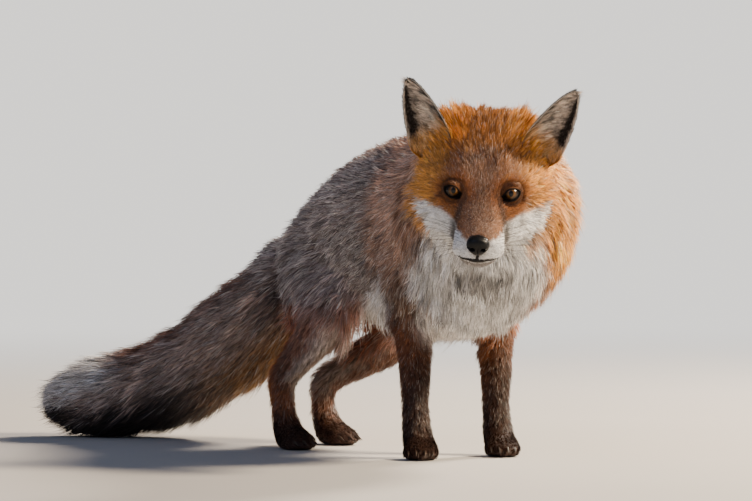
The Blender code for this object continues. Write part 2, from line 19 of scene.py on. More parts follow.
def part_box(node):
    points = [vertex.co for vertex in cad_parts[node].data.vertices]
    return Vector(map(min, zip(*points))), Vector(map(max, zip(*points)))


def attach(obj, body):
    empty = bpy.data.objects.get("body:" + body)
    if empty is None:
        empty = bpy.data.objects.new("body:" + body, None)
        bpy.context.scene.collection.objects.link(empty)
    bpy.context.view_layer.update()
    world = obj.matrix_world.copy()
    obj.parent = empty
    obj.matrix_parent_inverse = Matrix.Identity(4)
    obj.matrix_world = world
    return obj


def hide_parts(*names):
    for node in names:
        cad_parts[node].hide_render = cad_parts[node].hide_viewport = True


bl_info = {
    "name": "Red Fox Model",
    "version": (1, 0, 0),
    "blender": (4, 5, 0),
    "location": "3D View > Sidebar > Fox",
    "description": "Skin, coat, face and stage of a life-size red fox",
    "category": "Add Mesh",
}

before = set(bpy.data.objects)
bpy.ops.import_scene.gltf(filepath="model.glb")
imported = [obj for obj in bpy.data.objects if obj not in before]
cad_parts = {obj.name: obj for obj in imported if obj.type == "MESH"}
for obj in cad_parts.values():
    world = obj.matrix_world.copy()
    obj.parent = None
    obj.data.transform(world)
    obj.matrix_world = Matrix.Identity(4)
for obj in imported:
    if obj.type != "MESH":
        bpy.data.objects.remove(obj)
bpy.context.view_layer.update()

# Landmarks in the plan's coordinates: the eyes' middle and the head's turn, tip and lean. The plan's origin
# is worked out from where the eyes are in the frame.
EYE_LINE = np.array((-0.073, -0.177, 0.285))
HEAD_TURN = math.radians(-33)
HEAD_TIP = math.radians(25)
HEAD_LEAN = math.radians(3.5)
VIEW_TURN = math.radians(-30)  # the side from which the fox is looked at, and to which it looks
VIEW_AWAY = 6.0
VIEW_HEIGHT = 0.40

# Lines that the coat follows, as short as their bends allow
TRUNK = [
    (-0.052, -0.148, 0.296),
    (-0.017, -0.092, 0.268),
    (0.016, 0.012, 0.246),
    (0.031, 0.148, 0.240),
    (0.025, 0.270, 0.223),
    (0.016, 0.358, 0.212),
]
TAIL = [
    (0.014, 0.318, 0.222),
    (0.004, 0.346, 0.194),
    (-0.018, 0.371, 0.156),
    (-0.080, 0.433, 0.090),
    (-0.131, 0.487, 0.058),
    (-0.210, 0.552, 0.030),
]
LEGS = {
    "foreleg_right": [
        (-0.034, 0.006, 0.255),
        (-0.035, 0.036, 0.158),
        (-0.036, 0.027, 0.060),
        (-0.037, 0.018, 0.0),
    ],
    "foreleg_left": [
        (0.070, 0.002, 0.255),
        (0.068, 0.036, 0.158),
        (0.066, 0.033, 0.060),
        (0.065, 0.024, 0.0),
    ],
    "hindleg_right": [
        (-0.012, 0.280, 0.240),
        (-0.032, 0.212, 0.162),
        (-0.076, 0.246, 0.076),
        (-0.077, 0.232, 0.0),
    ],
    "hindleg_left": [
        (0.062, 0.296, 0.240),
        (0.076, 0.246, 0.150),
        (0.006, 0.296, 0.070),
        (0.000, 0.281, 0.0),
    ],
}
TAIL_LENGTH = 0.36
PAW_TURNS = {"forepaw_right": -30, "forepaw_left": -26, "hindpaw_right": 4, "hindpaw_left": 12}

# Which part of the animal each node of flesh belongs to
FLESH = {
    "head": "head",
    "jaw": "head",
    "neck": "neck",
    "chest": "trunk",
    "loins": "trunk",
    "tail_base": "tail",
    "tail_brush": "tail",
    "tail_tip": "tail",
    "foreleg_right": "foreleg",
    "foreleg_left": "foreleg",
    "hindleg_right": "hindleg",
    "hindleg_left": "hindleg",
    "forepaw_right": "forepaw",
    "forepaw_left": "forepaw",
    "hindpaw_right": "hindpaw",
    "hindpaw_left": "hindpaw",
}
GROUPS = ("head", "neck", "trunk", "tail", "foreleg", "hindleg", "forepaw", "hindpaw")
# The coat of each node: depth, hair length and tuft width in millimetres. head_coat works out the head's.
COATS = {
    "head": (8, 18, 0.8),
    "jaw": (2, 6, 0.5),
    "neck": (13, 38, 1.03),
    "chest": (12, 30, 1.06),
    "loins": (11, 27, 1.08),
    "tail_base": (14, 38, 1.2),
    "tail_brush": (18, 46, 1.28),
    "tail_tip": (15, 42, 1.25),
    "foreleg_right": (3.4, 10, 0.75),
    "foreleg_left": (3.4, 10, 0.75),
    "hindleg_right": (4.0, 12, 0.84),
    "hindleg_left": (4.0, 12, 0.84),
    "forepaw_right": (1.8, 6, 0.6),
    "forepaw_left": (1.8, 6, 0.6),
    "hindpaw_right": (1.8, 6, 0.6),
    "hindpaw_left": (1.8, 6, 0.6),
}
MM = 0.001
SIDES = ((-1, "right"), (1, "left"))
SKIN_VOXEL = 0.0030
SWELL = 0.0007  # how far the flesh's solids are swollen, so that they meet over the cuts between them
SOLE = 0.0035  # below this the paw pads are bare

# Head, in its own frame: x is its left, -y the way it faces, z its top
EYE_SIDE = 0.0295
EYE_TURN = math.radians(7)  # how far an eye's opening is turned out
EYE_LIFT = math.radians(15)  # and up
EYE_RADIUS = 0.0102
NOSE_TIP = np.array((0, -0.0950, -0.0220))
NOSE_AT = np.array((0.0, -0.0835, -0.0195))
EAR_BASE = (0.0460, 0.0450, 0.0160)
EAR_HOLLOW = np.array((0.044, 0.031, 0.038))  # the middle of the dip before an ear
EAR_LEAN = {-1: math.radians(22.5), 1: math.radians(28)}
EAR_OPENS = math.radians(14)
EAR_LENGTH = 0.0925
EAR_HALF_WIDTH = 0.0252
EAR_WALL = 0.0012
EAR_ACROSS, EAR_ALONG = 36, 60  # columns and rows of an ear's sheets
EAR_BACK_TUFTS, EAR_LINING_TUFTS = 5500, 7500
MOUTH_LINE = [(-0.1000, -0.0398), (-0.0340, -0.0425)]  # y and z of the mouth, seen from the side

# Finishes that several pieces share
FUR_NAME = "Guard hair, keratin"
EYE_NAME = "Glass eye, lacquered"
EAR_SKIN_NAME = "Ear skin, thin and downy"


def smoothstep(low, high, value):
    t = np.clip((value - low) / (high - low), 0, 1)
    return t * t * (3 - 2 * t)


def unit(vectors):
    return vectors / np.maximum(np.linalg.norm(vectors, axis=-1, keepdims=True), 1e-12)


def dot(a, b):
    return (a * b).sum(-1, keepdims=True)


def mix(a, b, share):
    return a + (b - a) * share


def blend(a, b, share):
    """A mix of colours or vectors, with one share for each."""
    return mix(a, b, np.asarray(share)[..., None])


def linear(code):
    """An sRGB hex colour as linear red, green and blue."""
    values = np.array([int(code[k : k + 2], 16) for k in (0, 2, 4)]) / 255
    return np.where(values <= 0.04045, values / 12.92, ((values + 0.055) / 1.055) ** 2.4)


def middle(node):
    low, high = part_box(node)
    return np.array((low + high) / 2)


EYES = (middle("eye_left") + middle("eye_right")) / 2
ORIGIN = EYES - EYE_LINE
ORIGIN[2] = 0
HEAD = (
    Matrix.Translation(Vector(EYES))
    @ Matrix.Rotation(HEAD_TURN, 4, "Z")
    @ Matrix.Rotation(HEAD_TIP, 4, "X")
    @ Matrix.Rotation(HEAD_LEAN, 4, "Y")
)
HEAD_AXES = np.array(HEAD.to_3x3())
TO_VIEWER = np.array((math.sin(VIEW_TURN), -math.cos(VIEW_TURN), 0.0))


def in_head(points):
    return (points - EYES) @ HEAD_AXES


def in_head_way(ways):
    return ways @ HEAD_AXES


def from_head(local):
    return np.asarray(local) @ HEAD_AXES.T + EYES


def mirrored(local):
    """Points of the head's frame with those of its right half moved over to the left."""
    return np.column_stack([np.abs(local[:, 0]), local[:, 1:]])


def clouds(points, size, seed):
    """Smooth noise between -1 and 1 that changes over about this size."""
    scaled = points / size + 1000.0
    base = np.floor(scaled).astype(np.int64)
    part = scaled - base
    part = part * part * (3 - 2 * part)
    found = np.zeros(len(points))
    for corner in np.ndindex(2, 2, 2):
        key = base + np.array(corner)
        hashed = key[:, 0] * 73856093 ^ key[:, 1] * 19349663 ^ key[:, 2] * 83492791 ^ seed * 2654435761
        hashed = (hashed ^ (hashed >> 13)) * 1274126177 & 0x7FFFFFFF
        hashed = (hashed ^ (hashed >> 15)) & 0xFFFF
        weight = np.ones(len(points))
        for axis in range(3):
            weight *= part[:, axis] if corner[axis] else 1 - part[:, axis]
        found += weight * (hashed / 32767.5 - 1)
    return found


def along(line, points):
    """Where points lie along a line: the share of the way, the line's direction there, and the offset."""
    line = np.array(line, float) + ORIGIN
    starts, steps = line[:-1], np.diff(line, axis=0)
    sizes = np.linalg.norm(steps, axis=1)
    away = points[:, None] - starts[None]
    part = np.clip((away * steps).sum(-1) / sizes**2, 0, 1)
    gap = away - part[..., None] * steps
    best = np.linalg.norm(gap, axis=-1).argmin(1)
    row = np.arange(len(points))
    part = part[row, best]
    turns = unit(np.gradient(line, axis=0))
    way = unit(blend(turns[best], turns[best + 1], part))
    reach = np.concatenate([[0], sizes.cumsum()])
    return (reach[best] + part * sizes[best]) / reach[-1], way, gap[row, best]


# ------------------
# Meshes


def new_object(name, points, faces):
    """An object from arrays: its points, and its faces as arrays of quads and of triangles."""
    mesh = bpy.data.meshes.new(name)
    mesh.vertices.add(len(points))
    mesh.vertices.foreach_set("co", np.ascontiguousarray(points, np.float32).ravel())
    corners = np.concatenate([part.ravel() for part in faces]).astype(np.int32)
    sizes = np.concatenate([np.full(len(part), part.shape[1]) for part in faces])
    mesh.loops.add(len(corners))
    mesh.loops.foreach_set("vertex_index", corners)
    mesh.polygons.add(len(sizes))
    mesh.polygons.foreach_set("loop_start", np.concatenate([[0], sizes.cumsum()[:-1]]).astype(np.int32))
    mesh.update(calc_edges=True)
    mesh.shade_smooth()
    made = bpy.data.objects.new(name, mesh)
    bpy.context.scene.collection.objects.link(made)
    return made


def grid_faces(rows, columns, closed=False):
    """The quads between rows of points; closed joins each row's end to its start."""
    index = np.arange(rows * columns).reshape(rows, columns)
    right = np.roll(index, -1, axis=1)
    if not closed:
        index, right = index[:, :-1], right[:, :-1]
    return np.stack([index[:-1], right[:-1], right[1:], index[1:]], -1).reshape(-1, 4)


def paint(made, name, colours):
    layer = made.data.color_attributes.new(name, "FLOAT_COLOR", "POINT")
    opaque = np.column_stack([colours, np.ones(len(colours))])
    layer.data.foreach_set("color", opaque.astype(np.float32).ravel())


def arrays(mesh):
    points = np.empty(len(mesh.vertices) * 3)
    mesh.vertices.foreach_get("co", points)
    mesh.calc_loop_triangles()
    triangles = np.empty(len(mesh.loop_triangles) * 3, np.int32)
    mesh.loop_triangles.foreach_get("vertices", triangles)
    return points.reshape(-1, 3), triangles.reshape(-1, 3)


def point_normals(points, triangles):
    across = points[triangles]
    turns = np.cross(across[:, 1] - across[:, 0], across[:, 2] - across[:, 0])
    found = np.zeros_like(points)
    for axis in range(3):
        weights = np.repeat(turns[:, axis], 3)
        found[:, axis] = np.bincount(triangles.ravel(), weights, len(points))
    return unit(found)


class Weave:
    """The edges of a mesh, over which values are evened out."""

    def __init__(self, mesh):
        self.count = len(mesh.vertices)
        ends = np.empty(len(mesh.edges) * 2, np.int32)
        mesh.edges.foreach_get("vertices", ends)
        ends = ends.reshape(-1, 2)
        self.here = np.concatenate([ends[:, 0], ends[:, 1]])
        self.there = np.concatenate([ends[:, 1], ends[:, 0]])
        self.degree = np.maximum(np.bincount(self.here, minlength=self.count), 1)

    def even(self, values, rounds, share=0.5):
        table = np.array(values, float).reshape(self.count, -1)
        share = np.broadcast_to(share, self.count)
        for _ in range(rounds):
            for column in range(table.shape[1]):
                near = np.bincount(self.here, table[self.there, column], self.count) / self.degree
                table[:, column] += share * (near - table[:, column])
        return table.reshape(np.shape(values))


class Ground:
    """A surface that hair grows on, with what the hair is like at each of its points."""

    def __init__(self, points, triangles, **fields):
        self.points = points
        self.triangles = triangles
        self.fields = {
            "points": points,
            "normal": point_normals(points, triangles),
            "spread": np.full(len(points), CLUMP_SPREAD),
            **fields,
        }

    def at(self, corners, weights, name):
        values = self.fields[name][corners]
        return np.einsum("nc,nc...->n...", weights, values)


grounds = {}  # the skin's surface, and the node of each of its points, for the steps that follow the skin's


# ------------------
# Materials


def add_node(tree, kind, inputs=None, **settings):
    """Adds a node, with its settings, and its inputs set or linked."""
    made = tree.nodes.new(kind)
    for key, value in settings.items():
        setattr(made, key, value)
    for key, value in (inputs or {}).items():
        if isinstance(value, bpy.types.NodeSocket):
            tree.links.new(value, made.inputs[key])
        else:
            made.inputs[key].default_value = value
    return made


def new_material(name):
    """A material with an empty tree, and that tree."""
    made = bpy.data.materials.new(name)
    made.use_nodes = True
    made.node_tree.nodes.clear()
    return made, made.node_tree


def reckon(tree, operation, a, b):
    """The result of a sum on two numbers."""
    return add_node(tree, "ShaderNodeMath", {0: a, 1: b}, operation=operation).outputs["Value"]


def mixed(tree, share, a, b, blend_type="MIX"):
    """A mix of two colours. They are inputs 6 and 7 of this kind of node, and the mix is output 2."""
    inputs = {"Factor": share, 6: a, 7: b}
    return add_node(tree, "ShaderNodeMix", inputs, data_type="RGBA", blend_type=blend_type).outputs[2]


def two_tones(tree, noise, low, high):
    """Colours between two, as a noise goes from low to high."""
    ramp = add_node(tree, "ShaderNodeValToRGB", {"Fac": noise.outputs["Fac"]})
    for element, colour in zip(ramp.color_ramp.elements, (low, high)):
        element.color = (*colour, 1)
    return ramp.outputs["Color"]


def finish_shader(tree, **inputs):
    settings = {key.replace("_", " "): value for key, value in inputs.items()}
    shader = add_node(tree, "ShaderNodeBsdfPrincipled", settings)
    add_node(tree, "ShaderNodeOutputMaterial", {"Surface": shader.outputs["BSDF"]})


def shaded_attribute(tree, attribute, scale, low, high):
    """The colours of an attribute, made lighter and darker by noise of a real size."""
    colour = add_node(tree, "ShaderNodeAttribute", attribute_name=attribute)
    place = add_node(tree, "ShaderNodeTexCoord")
    noise = add_node(
        tree, "ShaderNodeTexNoise", {"Vector": place.outputs["Object"], "Scale": 1 / scale, "Detail": 2.0}
    )
    shade = add_node(
        tree,
        "ShaderNodeMapRange",
        {"Value": noise.outputs["Fac"], "From Min": 0.3, "From Max": 0.7, "To Min": low, "To Max": high},
    )
    made = mixed(tree, 1.0, colour.outputs["Color"], shade.outputs["Result"], "MULTIPLY")
    return made, noise.outputs["Fac"]


def fur_material():
    # Guard hair: keratin with a dry, faintly glossy cuticle; hair to hair it varies in shade.
    made, tree = new_material(FUR_NAME)
    colour, _ = shaded_attribute(tree, "coat", 1.2 * MM, 0.82, 1.18)
    finish_shader(tree, Base_Color=colour, Roughness=0.58, Specular_IOR_Level=0.32, IOR=1.55)
    return made


def skin_material():
    # Underfur close to the hide: short, matt and woolly, so it is soft to the eye and has a fine grain.
    made, tree = new_material("Underfur, woolly")
    colour, noise = shaded_attribute(tree, "coat", 0.9 * MM, 0.75, 1.15)
    bump = add_node(tree, "ShaderNodeBump", {"Height": noise, "Strength": 0.8, "Distance": 0.4 * MM})
    finish_shader(
        tree, Base_Color=colour, Roughness=0.85, Specular_IOR_Level=0.2, Normal=bump.outputs["Normal"]
    )
    return made


def leather_material(name, code, pore, roughness):
    # Bare skin of the nose and lips: dark, finely pebbled and damp, so it has a broken soft shine.
    made, tree = new_material(name)
    place = add_node(tree, "ShaderNodeTexCoord")
    pebbles = add_node(
        tree, "ShaderNodeTexVoronoi", {"Vector": place.outputs["Object"], "Scale": 1 / pore}, feature="F1"
    )
    noise = add_node(
        tree, "ShaderNodeTexNoise", {"Vector": place.outputs["Object"], "Scale": 0.4 / pore, "Detail": 3.0}
    )
    dark = linear(code)
    shade = two_tones(tree, noise, dark * 0.6, dark * 1.5)
    shine = add_node(
        tree,
        "ShaderNodeMapRange",
        {"Value": noise.outputs["Fac"], "To Min": roughness - 0.10, "To Max": roughness + 0.12},
    )
    bump = add_node(
        tree,
        "ShaderNodeBump",
        {"Height": pebbles.outputs["Distance"], "Strength": 0.7, "Distance": pore * 0.3},
    )
    finish_shader(
        tree,
        Base_Color=shade,
        Roughness=shine.outputs["Result"],
        Specular_IOR_Level=0.2,
        Normal=bump.outputs["Normal"],
        Coat_Weight=0.08,
        Coat_Roughness=0.2,
    )
    return made


# ------------------
# Markings


COLOURS = {
    "rust": ("9a5020", "Rust", "Sides of the neck, and round the eyes"),
    "orange": ("c87e2e", "Orange", "Crown, cheeks and the ruff's edge"),
    "russet": ("6e4022", "Russet", "Shoulders and legs"),
    "umber": ("5a3a26", "Umber", "Bridge of the muzzle and the streaks round the eyes"),
    "gold": ("e2a048", "Gold", "Bases of the ears, crown and the cheeks' edge"),
    "grizzle": ("877a76", "Grizzle", "Greyed fur of the forehead, back and flanks"),
    "frost": ("cec3b8", "Frost", "Pale tips of grizzled hair"),
    "white": ("f2efec", "White", "Cheeks, throat and chest"),
    "ash": ("a9a29c", "Ash", "Belly and the underfur of white hair"),
    "sable": ("16110f", "Sable", "Black of the legs, ears and hair tips"),
    "brush": ("8c7668", "Brush", "Brown of the tail"),
    "buff": ("845c2e", "Buff", "Under the root of the tail"),
    "iris": ("5c3a14", "Iris", "Amber of the eyes"),
}
CLUMP_SPREAD = 0.20  # how much clumps of hair differ in tone


def palette():
    """The add-on's colours, by name."""
    colours = bpy.context.scene.fox_colours
    return {key: np.array(getattr(colours, key)) for key in COLOURS}


def scaled(colour, factor):
    """Colours made lighter or darker, with one factor for each."""
    return colour * factor[:, None]


class Spots:
    """Points of the coat: where they lie in the plan, and fine and broad noise there."""

    def __init__(self, points):
        self.points = points
        self.x, self.y, self.z = (points - ORIGIN).T
        # Across the fox and behind its middle, as the viewer sees it
        self.front = self.x * math.cos(VIEW_TURN) + self.y * math.sin(VIEW_TURN)
        self.behind = self.x * math.sin(-VIEW_TURN) + self.y * math.cos(VIEW_TURN)
        self.rough = clouds(points, 0.009, 1) * 0.5 + clouds(points, 0.004, 2) * 0.5
        self.broad = clouds(points, 0.035, 3)


# A region's hair colour, how far its fur is white, and its shares of pale-tipped and black-tipped hairs
Marks = namedtuple("Marks", "colour pale frost sable")


def tan_tone(tone):
    return blend(tone["rust"], blend(tone["buff"], tone["frost"], 0.45), 0.55)


def belly_tone(tone):
    return blend(tone["ash"], tone["white"], 0.65)


def pale_belly(at):
    """Where the belly's pale hair is: up to the fold before the thigh, and between the forelegs."""
    reach = math.cos(VIEW_TURN) * np.abs(at.x) - math.sin(VIEW_TURN) * at.y  # outwards and backwards
    fold = 0.081 + 0.53 * (0.189 - at.z)
    between = smoothstep(0.050, 0.035, np.abs(at.x)) * smoothstep(0.185, 0.165, at.z)
    under = smoothstep(0.008, -0.004, reach - fold + 0.006 * at.rough) * smoothstep(0.206, 0.180, at.z)
    return under * np.maximum(smoothstep(0.030, 0.065, at.y), between) * smoothstep(0.070, 0.090, at.z)


def shade_and_black_patch(at):
    """Painted shade, with some black hair, between the root of the tail and the thigh."""
    off = np.hypot((at.front + 0.205) / 0.020, (at.z - 0.160) / 0.032)
    return smoothstep(1.3, 0.6, off + 0.3 * at.rough)


def trunk_marks(at, tone):
    """Tan behind the shoulders, grey to the rump, pale below, with painted light along the back and painted
    shade by the tail; its left side, from the spine down, painted darker and redder to offset the key lamp
    that lights it.
    """
    y, z = at.y, at.z
    under = pale_belly(at)
    greyed = smoothstep(0.070, 0.130, y + 0.02 * at.rough)
    # The left side, from the spine down, which the key lamp lights: painted darker and redder, with fewer
    # pale tips, to offset that lamp's light.
    lamp_lit_side = smoothstep(-0.035, 0.015, at.x)
    body = blend(tone["umber"], tone["grizzle"], 0.75 + 0.20 * at.broad)
    body = blend(body, tan_tone(tone), 0.85 * (1 - greyed))
    body = scaled(body, 1 - 0.60 * smoothstep(0.22, 0.17, z) * (1 - greyed))
    body = blend(body, tone["rust"], 0.45 * smoothstep(0.170, 0.130, z) * greyed)
    # Painted light: lighter along the top of the back and low on the grey rump.
    lit = 0.38 * smoothstep(0.215, 0.270, z) + 0.60 * smoothstep(0.215, 0.170, z) * greyed
    body = scaled(body, 1 + lit)
    flank = smoothstep(0.05, 0.02, np.abs(y - 0.115))
    body = scaled(body, 1 + 0.15 * smoothstep(0.130, 0.160, y) - 0.15 * flank)
    body = scaled(body, 1 - 0.15 * lamp_lit_side)
    body = blend(body, blend(tone["rust"], tone["orange"], 0.15), lamp_lit_side * (0.65 - 0.25 * greyed))
    # Painted shade, with black hair, between the tail's root and the thigh.
    body = blend(body, blend(tone["umber"], tone["sable"], 0.5), shade_and_black_patch(at) * 0.7)
    body = blend(body, belly_tone(tone), under * 0.92)
    frost = (0.25 + 0.30 * greyed * smoothstep(0.14, 0.19, z)) * (1 - 0.5 * lamp_lit_side)
    sable = (0.16 + 0.08 * greyed) * (1 - under)
    return Marks(body, 0.8 * under, frost, sable)


def neck_marks(at, tone):
    """Orange and rust with golden edges, and a white bib with grey locks down the chest; painted light and
    shade on its sides and throat.
    """
    front, z = at.front, at.z
    bib_wide = np.interp(z, [0.13, 0.16, 0.19, 0.22, 0.25, 0.29], [0.036, 0.060, 0.071, 0.064, 0.058, 0.050])
    bib_middle = np.interp(z, [0.16, 0.20, 0.25], [0.012, 0.020, 0.030])
    bib = smoothstep(0.010, -0.008, np.abs(front - bib_middle) - bib_wide + 0.007 * at.rough)
    bib = bib * smoothstep(0.000, -0.040, at.behind) * smoothstep(0.300, 0.280, z)
    ruff = blend(tone["rust"], tone["orange"], 0.40 + 0.30 * at.broad)
    golden = smoothstep(0.055, 0.080, np.abs(front - 0.025)) * smoothstep(0.02, -0.03, at.y)
    # Painted light: the left side gets more gold than the right, as if in the sun.
    ruff = blend(ruff, tone["gold"], np.where(front > 0, 0.75, 0.30) * golden)
    # Painted shade on the right side: tan and grey, painted lighter near the top and darker low down.
    ruff = blend(ruff, blend(tan_tone(tone), tone["grizzle"], 0.25), 0.85 * smoothstep(0.01, -0.05, front))
    right = smoothstep(0.00, -0.05, front)
    ruff = scaled(ruff, 1 + 0.45 * smoothstep(0.25, 0.30, z) * right)
    ruff = scaled(ruff, 1 - 0.50 * smoothstep(0.24, 0.17, z) * right)
    ruff = blend(ruff, tone["russet"], 0.6 * smoothstep(0.215, 0.175, z))
    locks = clouds(at.points * np.array((1, 1, 0.4)), 0.007, 5)
    neck = blend(ruff, tone["white"] * 0.88, bib)
    neck = blend(neck, tone["ash"] * 0.4, bib * smoothstep(-0.1, 0.5, locks) * 0.7)
    # Painted shadow of the head under the chin, over the throat's grey underfur.
    throat = smoothstep(0.048, 0.015, np.abs(front - bib_middle)) * smoothstep(0.160, 0.195, z)
    neck = blend(neck, tone["ash"] * 0.30, bib * throat * (0.65 + 0.25 * at.rough))
    # More pale tips on the right side, as part of its painted shade.
    frost = (0.36 + 0.16 * (front < -0.03)) * (1 - bib) * (1 - 0.6 * golden)
    return Marks(neck, bib, frost, 0.20 * (1 - bib))


def tail_marks(at, tone):
    """Brown with a rusty top, buff under its root, black below, pale at its end; a painted highlight on top
    of its root, a painted rim of light under it, and painted shade by the thigh.
    """
    way, _, offset = along(TAIL, at.points)
    up = unit(offset)[:, 2]
    tail = blend(tone["brush"], tone["grizzle"], 0.30 + 0.25 * at.broad)
    tail = blend(tail, tone["rust"], smoothstep(0.35, 0.85, up + 0.2 * at.rough) * 0.45)
    tail = scaled(tail, 1 + (0.35 + 0.25 * way) * smoothstep(0.6, 0.2, np.abs(up - 0.05)))
    fringe = smoothstep(0.62, 0.40, way)
    tail = blend(tail, tone["buff"], fringe * smoothstep(-0.25, -0.70, up) * 0.9)
    # Painted rim light: gold along the very underside of the root.
    tail = blend(tail, tone["gold"], fringe * smoothstep(-0.70, -0.95, up) * 0.5)
    # Painted highlight: the top of the root made pale.
    root_top_highlight = smoothstep(0.14, 0.02, way) * smoothstep(0.20, 0.60, up)
    tail = blend(tail, blend(tone["buff"], tone["frost"], 0.35), root_top_highlight * 0.6)
    black = smoothstep(0.42, 0.66, way) * smoothstep(-0.10, -0.65, up + 0.25 * at.rough)
    # Painted shade, with black hair, beside the thigh.
    black = np.maximum(black, shade_and_black_patch(at) * 0.7)
    black = np.maximum(black, smoothstep(0.86, 0.94, way) * smoothstep(0.25, -0.10, up))
    pale = smoothstep(0.72, 0.83, way + 0.03 * at.rough) * smoothstep(-0.10, 0.30, up + 0.2 * at.rough)
    tail = blend(tail, tone["sable"], black * 0.92)
    tail = blend(tail, blend(tone["ash"], tone["white"], 0.55), pale * 0.9)
    return Marks(tail, 0, 0.18 * (1 - black), 0.22)


def round_leg(kind, points):
    """How far ahead of the nearer leg of a kind, and how far on its inner side, each point is: -1 to 1."""
    near = np.full(len(points), np.inf)
    ahead, inner = np.zeros((2, len(points)))
    for side, inward in (("right", 1), ("left", -1)):
        _, _, gap = along(LEGS[f"{kind}_{side}"], points)
        size = np.linalg.norm(gap, axis=1)
        closer = size < near
        near = np.where(closer, size, near)
        ahead = np.where(closer, -unit(gap)[:, 1], ahead)
        inner = np.where(closer, inward * unit(gap)[:, 0], inner)
    return ahead, inner


def foreleg_marks(at, tone):
    """Russet, with a black front that spreads down to the paw."""
    ahead, _ = round_leg("foreleg", at.points)
    black = smoothstep(0.112, 0.040, at.z - 0.035 * ahead + 0.012 * at.rough)
    black = black * smoothstep(-0.75, 0.25, ahead + smoothstep(0.07, 0.03, at.z))
    return Marks(blend(tone["russet"], tone["sable"], black * 0.80), 0, 0.10 + 0.06 * at.rough, 0.10)


def hindleg_marks(at, tone):
    """Russet, rustier behind, paler inside and along the front, and black at the hock and the foot."""
    z = at.z
    ahead, inner = round_leg("hindleg", at.points)
    hock = smoothstep(0.040, 0.0, np.abs(z - 0.075)) * smoothstep(0.0, 0.7, ahead)
    black = np.maximum(hock * 0.45, smoothstep(0.055, 0.020, z + 0.008 * at.rough) * 0.75)
    black = black * (1 - 0.6 * smoothstep(0.0, -0.6, ahead) * smoothstep(0.010, 0.030, z))
    rear = smoothstep(0.2, -0.6, ahead)
    leg = blend(tone["russet"], blend(tone["rust"], tone["orange"], 0.3), 0.3 + 0.7 * rear)
    grey = (0.25 + 0.2 * at.broad) * (1 - rear) + 0.30 * smoothstep(0.12, 0.17, z)
    leg = blend(leg, tone["grizzle"], grey)
    leg = scaled(leg, 1 + 0.45 * smoothstep(0.10, 0.15, z))
    stifle = smoothstep(0.80, 0.97, ahead + 0.1 * at.rough) * smoothstep(0.060, 0.080, z)
    leg = blend(leg, belly_tone(tone), 0.5 * stifle)
    inside = smoothstep(-0.1, 0.5, inner) * smoothstep(0.040, 0.060, z)
    leg = blend(leg, blend(tone["buff"], tone["ash"], 0.65), inside * 0.75)
    leg = blend(leg, tone["sable"], black * (1 - 0.5 * inside))
    leg = blend(leg, belly_tone(tone), pale_belly(at) * 0.85)
    return Marks(leg, 0, 0.12 + 0.06 * at.rough, 0.10)


class FacePlan:
    """Points of the head as the face is seen from the front, tipped down: sideways, upwards and in depth."""

    def __init__(self, at):
        x, self.y, self.z = in_head(at.points).T
        self.side = np.abs(x)
        self.high = math.cos(HEAD_TIP) * self.z + math.sin(HEAD_TIP) * self.y
        self.round_eye = np.hypot((self.side - EYE_SIDE) / 1.25, self.high)
        self.crown = smoothstep(0.020, 0.060, self.y + 0.006 * at.rough) * smoothstep(0.0, 0.02, self.z)
        self.middle = smoothstep(0.030, 0.008, self.side + 0.004 * at.rough)
        self.middle = self.middle * smoothstep(0.030, 0.0, self.y - 0.012)
        self.brow = smoothstep(0.004, 0.016, self.high) * smoothstep(0.055, 0.02, self.side)
        self.brow = self.brow * smoothstep(0.045, 0.02, self.y)


def face_white(face, rough):
    """Where the face is white: the cheeks up to a line under the eyes, the muzzle's sides and the jaw."""
    side, high, y = face.side, face.high, face.y
    top_at = [0.010, 0.019, 0.023, 0.027, 0.039, 0.055, 0.070]
    top = np.interp(side, top_at, [-0.049, -0.043, -0.041, -0.030, -0.0215, -0.016, -0.010])
    edge_at = [-0.110, -0.084, -0.062, -0.050, -0.038, -0.020, -0.008]
    edge = np.interp(high, edge_at, [0.062, 0.055, 0.048, 0.052, 0.060, 0.067, 0.070])
    ragged = 0.0022 * rough
    uneven = ragged * (1 + 1.5 * smoothstep(0.028, 0.020, side))
    white = smoothstep(0.0034, -0.0028, high - top + uneven)
    white = white * smoothstep(0.0035, -0.0035, side - edge + ragged) * smoothstep(0.060, 0.030, y)
    jaw = smoothstep(-0.036, -0.041, face.z - 0.1 * (y + 0.034) + 0.4 * ragged)
    return np.maximum(white, jaw * smoothstep(0.052, 0.044, side))


def face_streaks(face):
    """The dark streaks: down from the inner corners of the eyes, out from the outer ones, and round them."""
    side, high, y = face.side, face.high, face.y
    tear_at = np.interp(high, [-0.045, -0.030, -0.015, -0.004], [0.0265, 0.0250, 0.0215, 0.0165])
    tear = smoothstep(0.0050, 0.0008, np.abs(side - tear_at)) * smoothstep(0.002, -0.004, high)
    tear = tear * (smoothstep(-0.050, -0.042, high) * smoothstep(0.010, -0.010, y))
    outer = smoothstep(0.0045, 0.0010, np.abs(high + 0.004 + 0.55 * (side - 0.042)))
    outer = outer * (smoothstep(0.036, 0.041, side) * smoothstep(0.060, 0.048, side))
    streaks = np.maximum(tear * 0.85, outer * 0.75)
    return np.maximum(streaks, smoothstep(0.0140, 0.0105, face.round_eye) * 0.5)


def shade_and_locks_on_white(face, points):
    """Where the white is darkened: painted shade in the crease between muzzle and cheek, a painted shadow
    under the chin, and grey locks.
    """
    side, high, y = face.side, face.high, face.y
    crease_shade = smoothstep(0.014, 0.005, np.abs(y + 0.031 + 0.25 * (side - 0.026)))
    crease_shade = crease_shade * smoothstep(0.018, 0.023, side) * smoothstep(0.044, 0.030, side)
    chin_shadow = smoothstep(-0.076, -0.092, high) * smoothstep(0.050, 0.020, side) * 0.85
    locks = smoothstep(-0.1, 0.7, clouds(points * np.array((1, 1, 0.4)), 0.006, 5)) * 0.55
    nose_side = smoothstep(-0.036, -0.046, y)  # clean white round the nose
    return np.maximum(np.maximum(crease_shade, chin_shadow), locks) * (1 - nose_side)


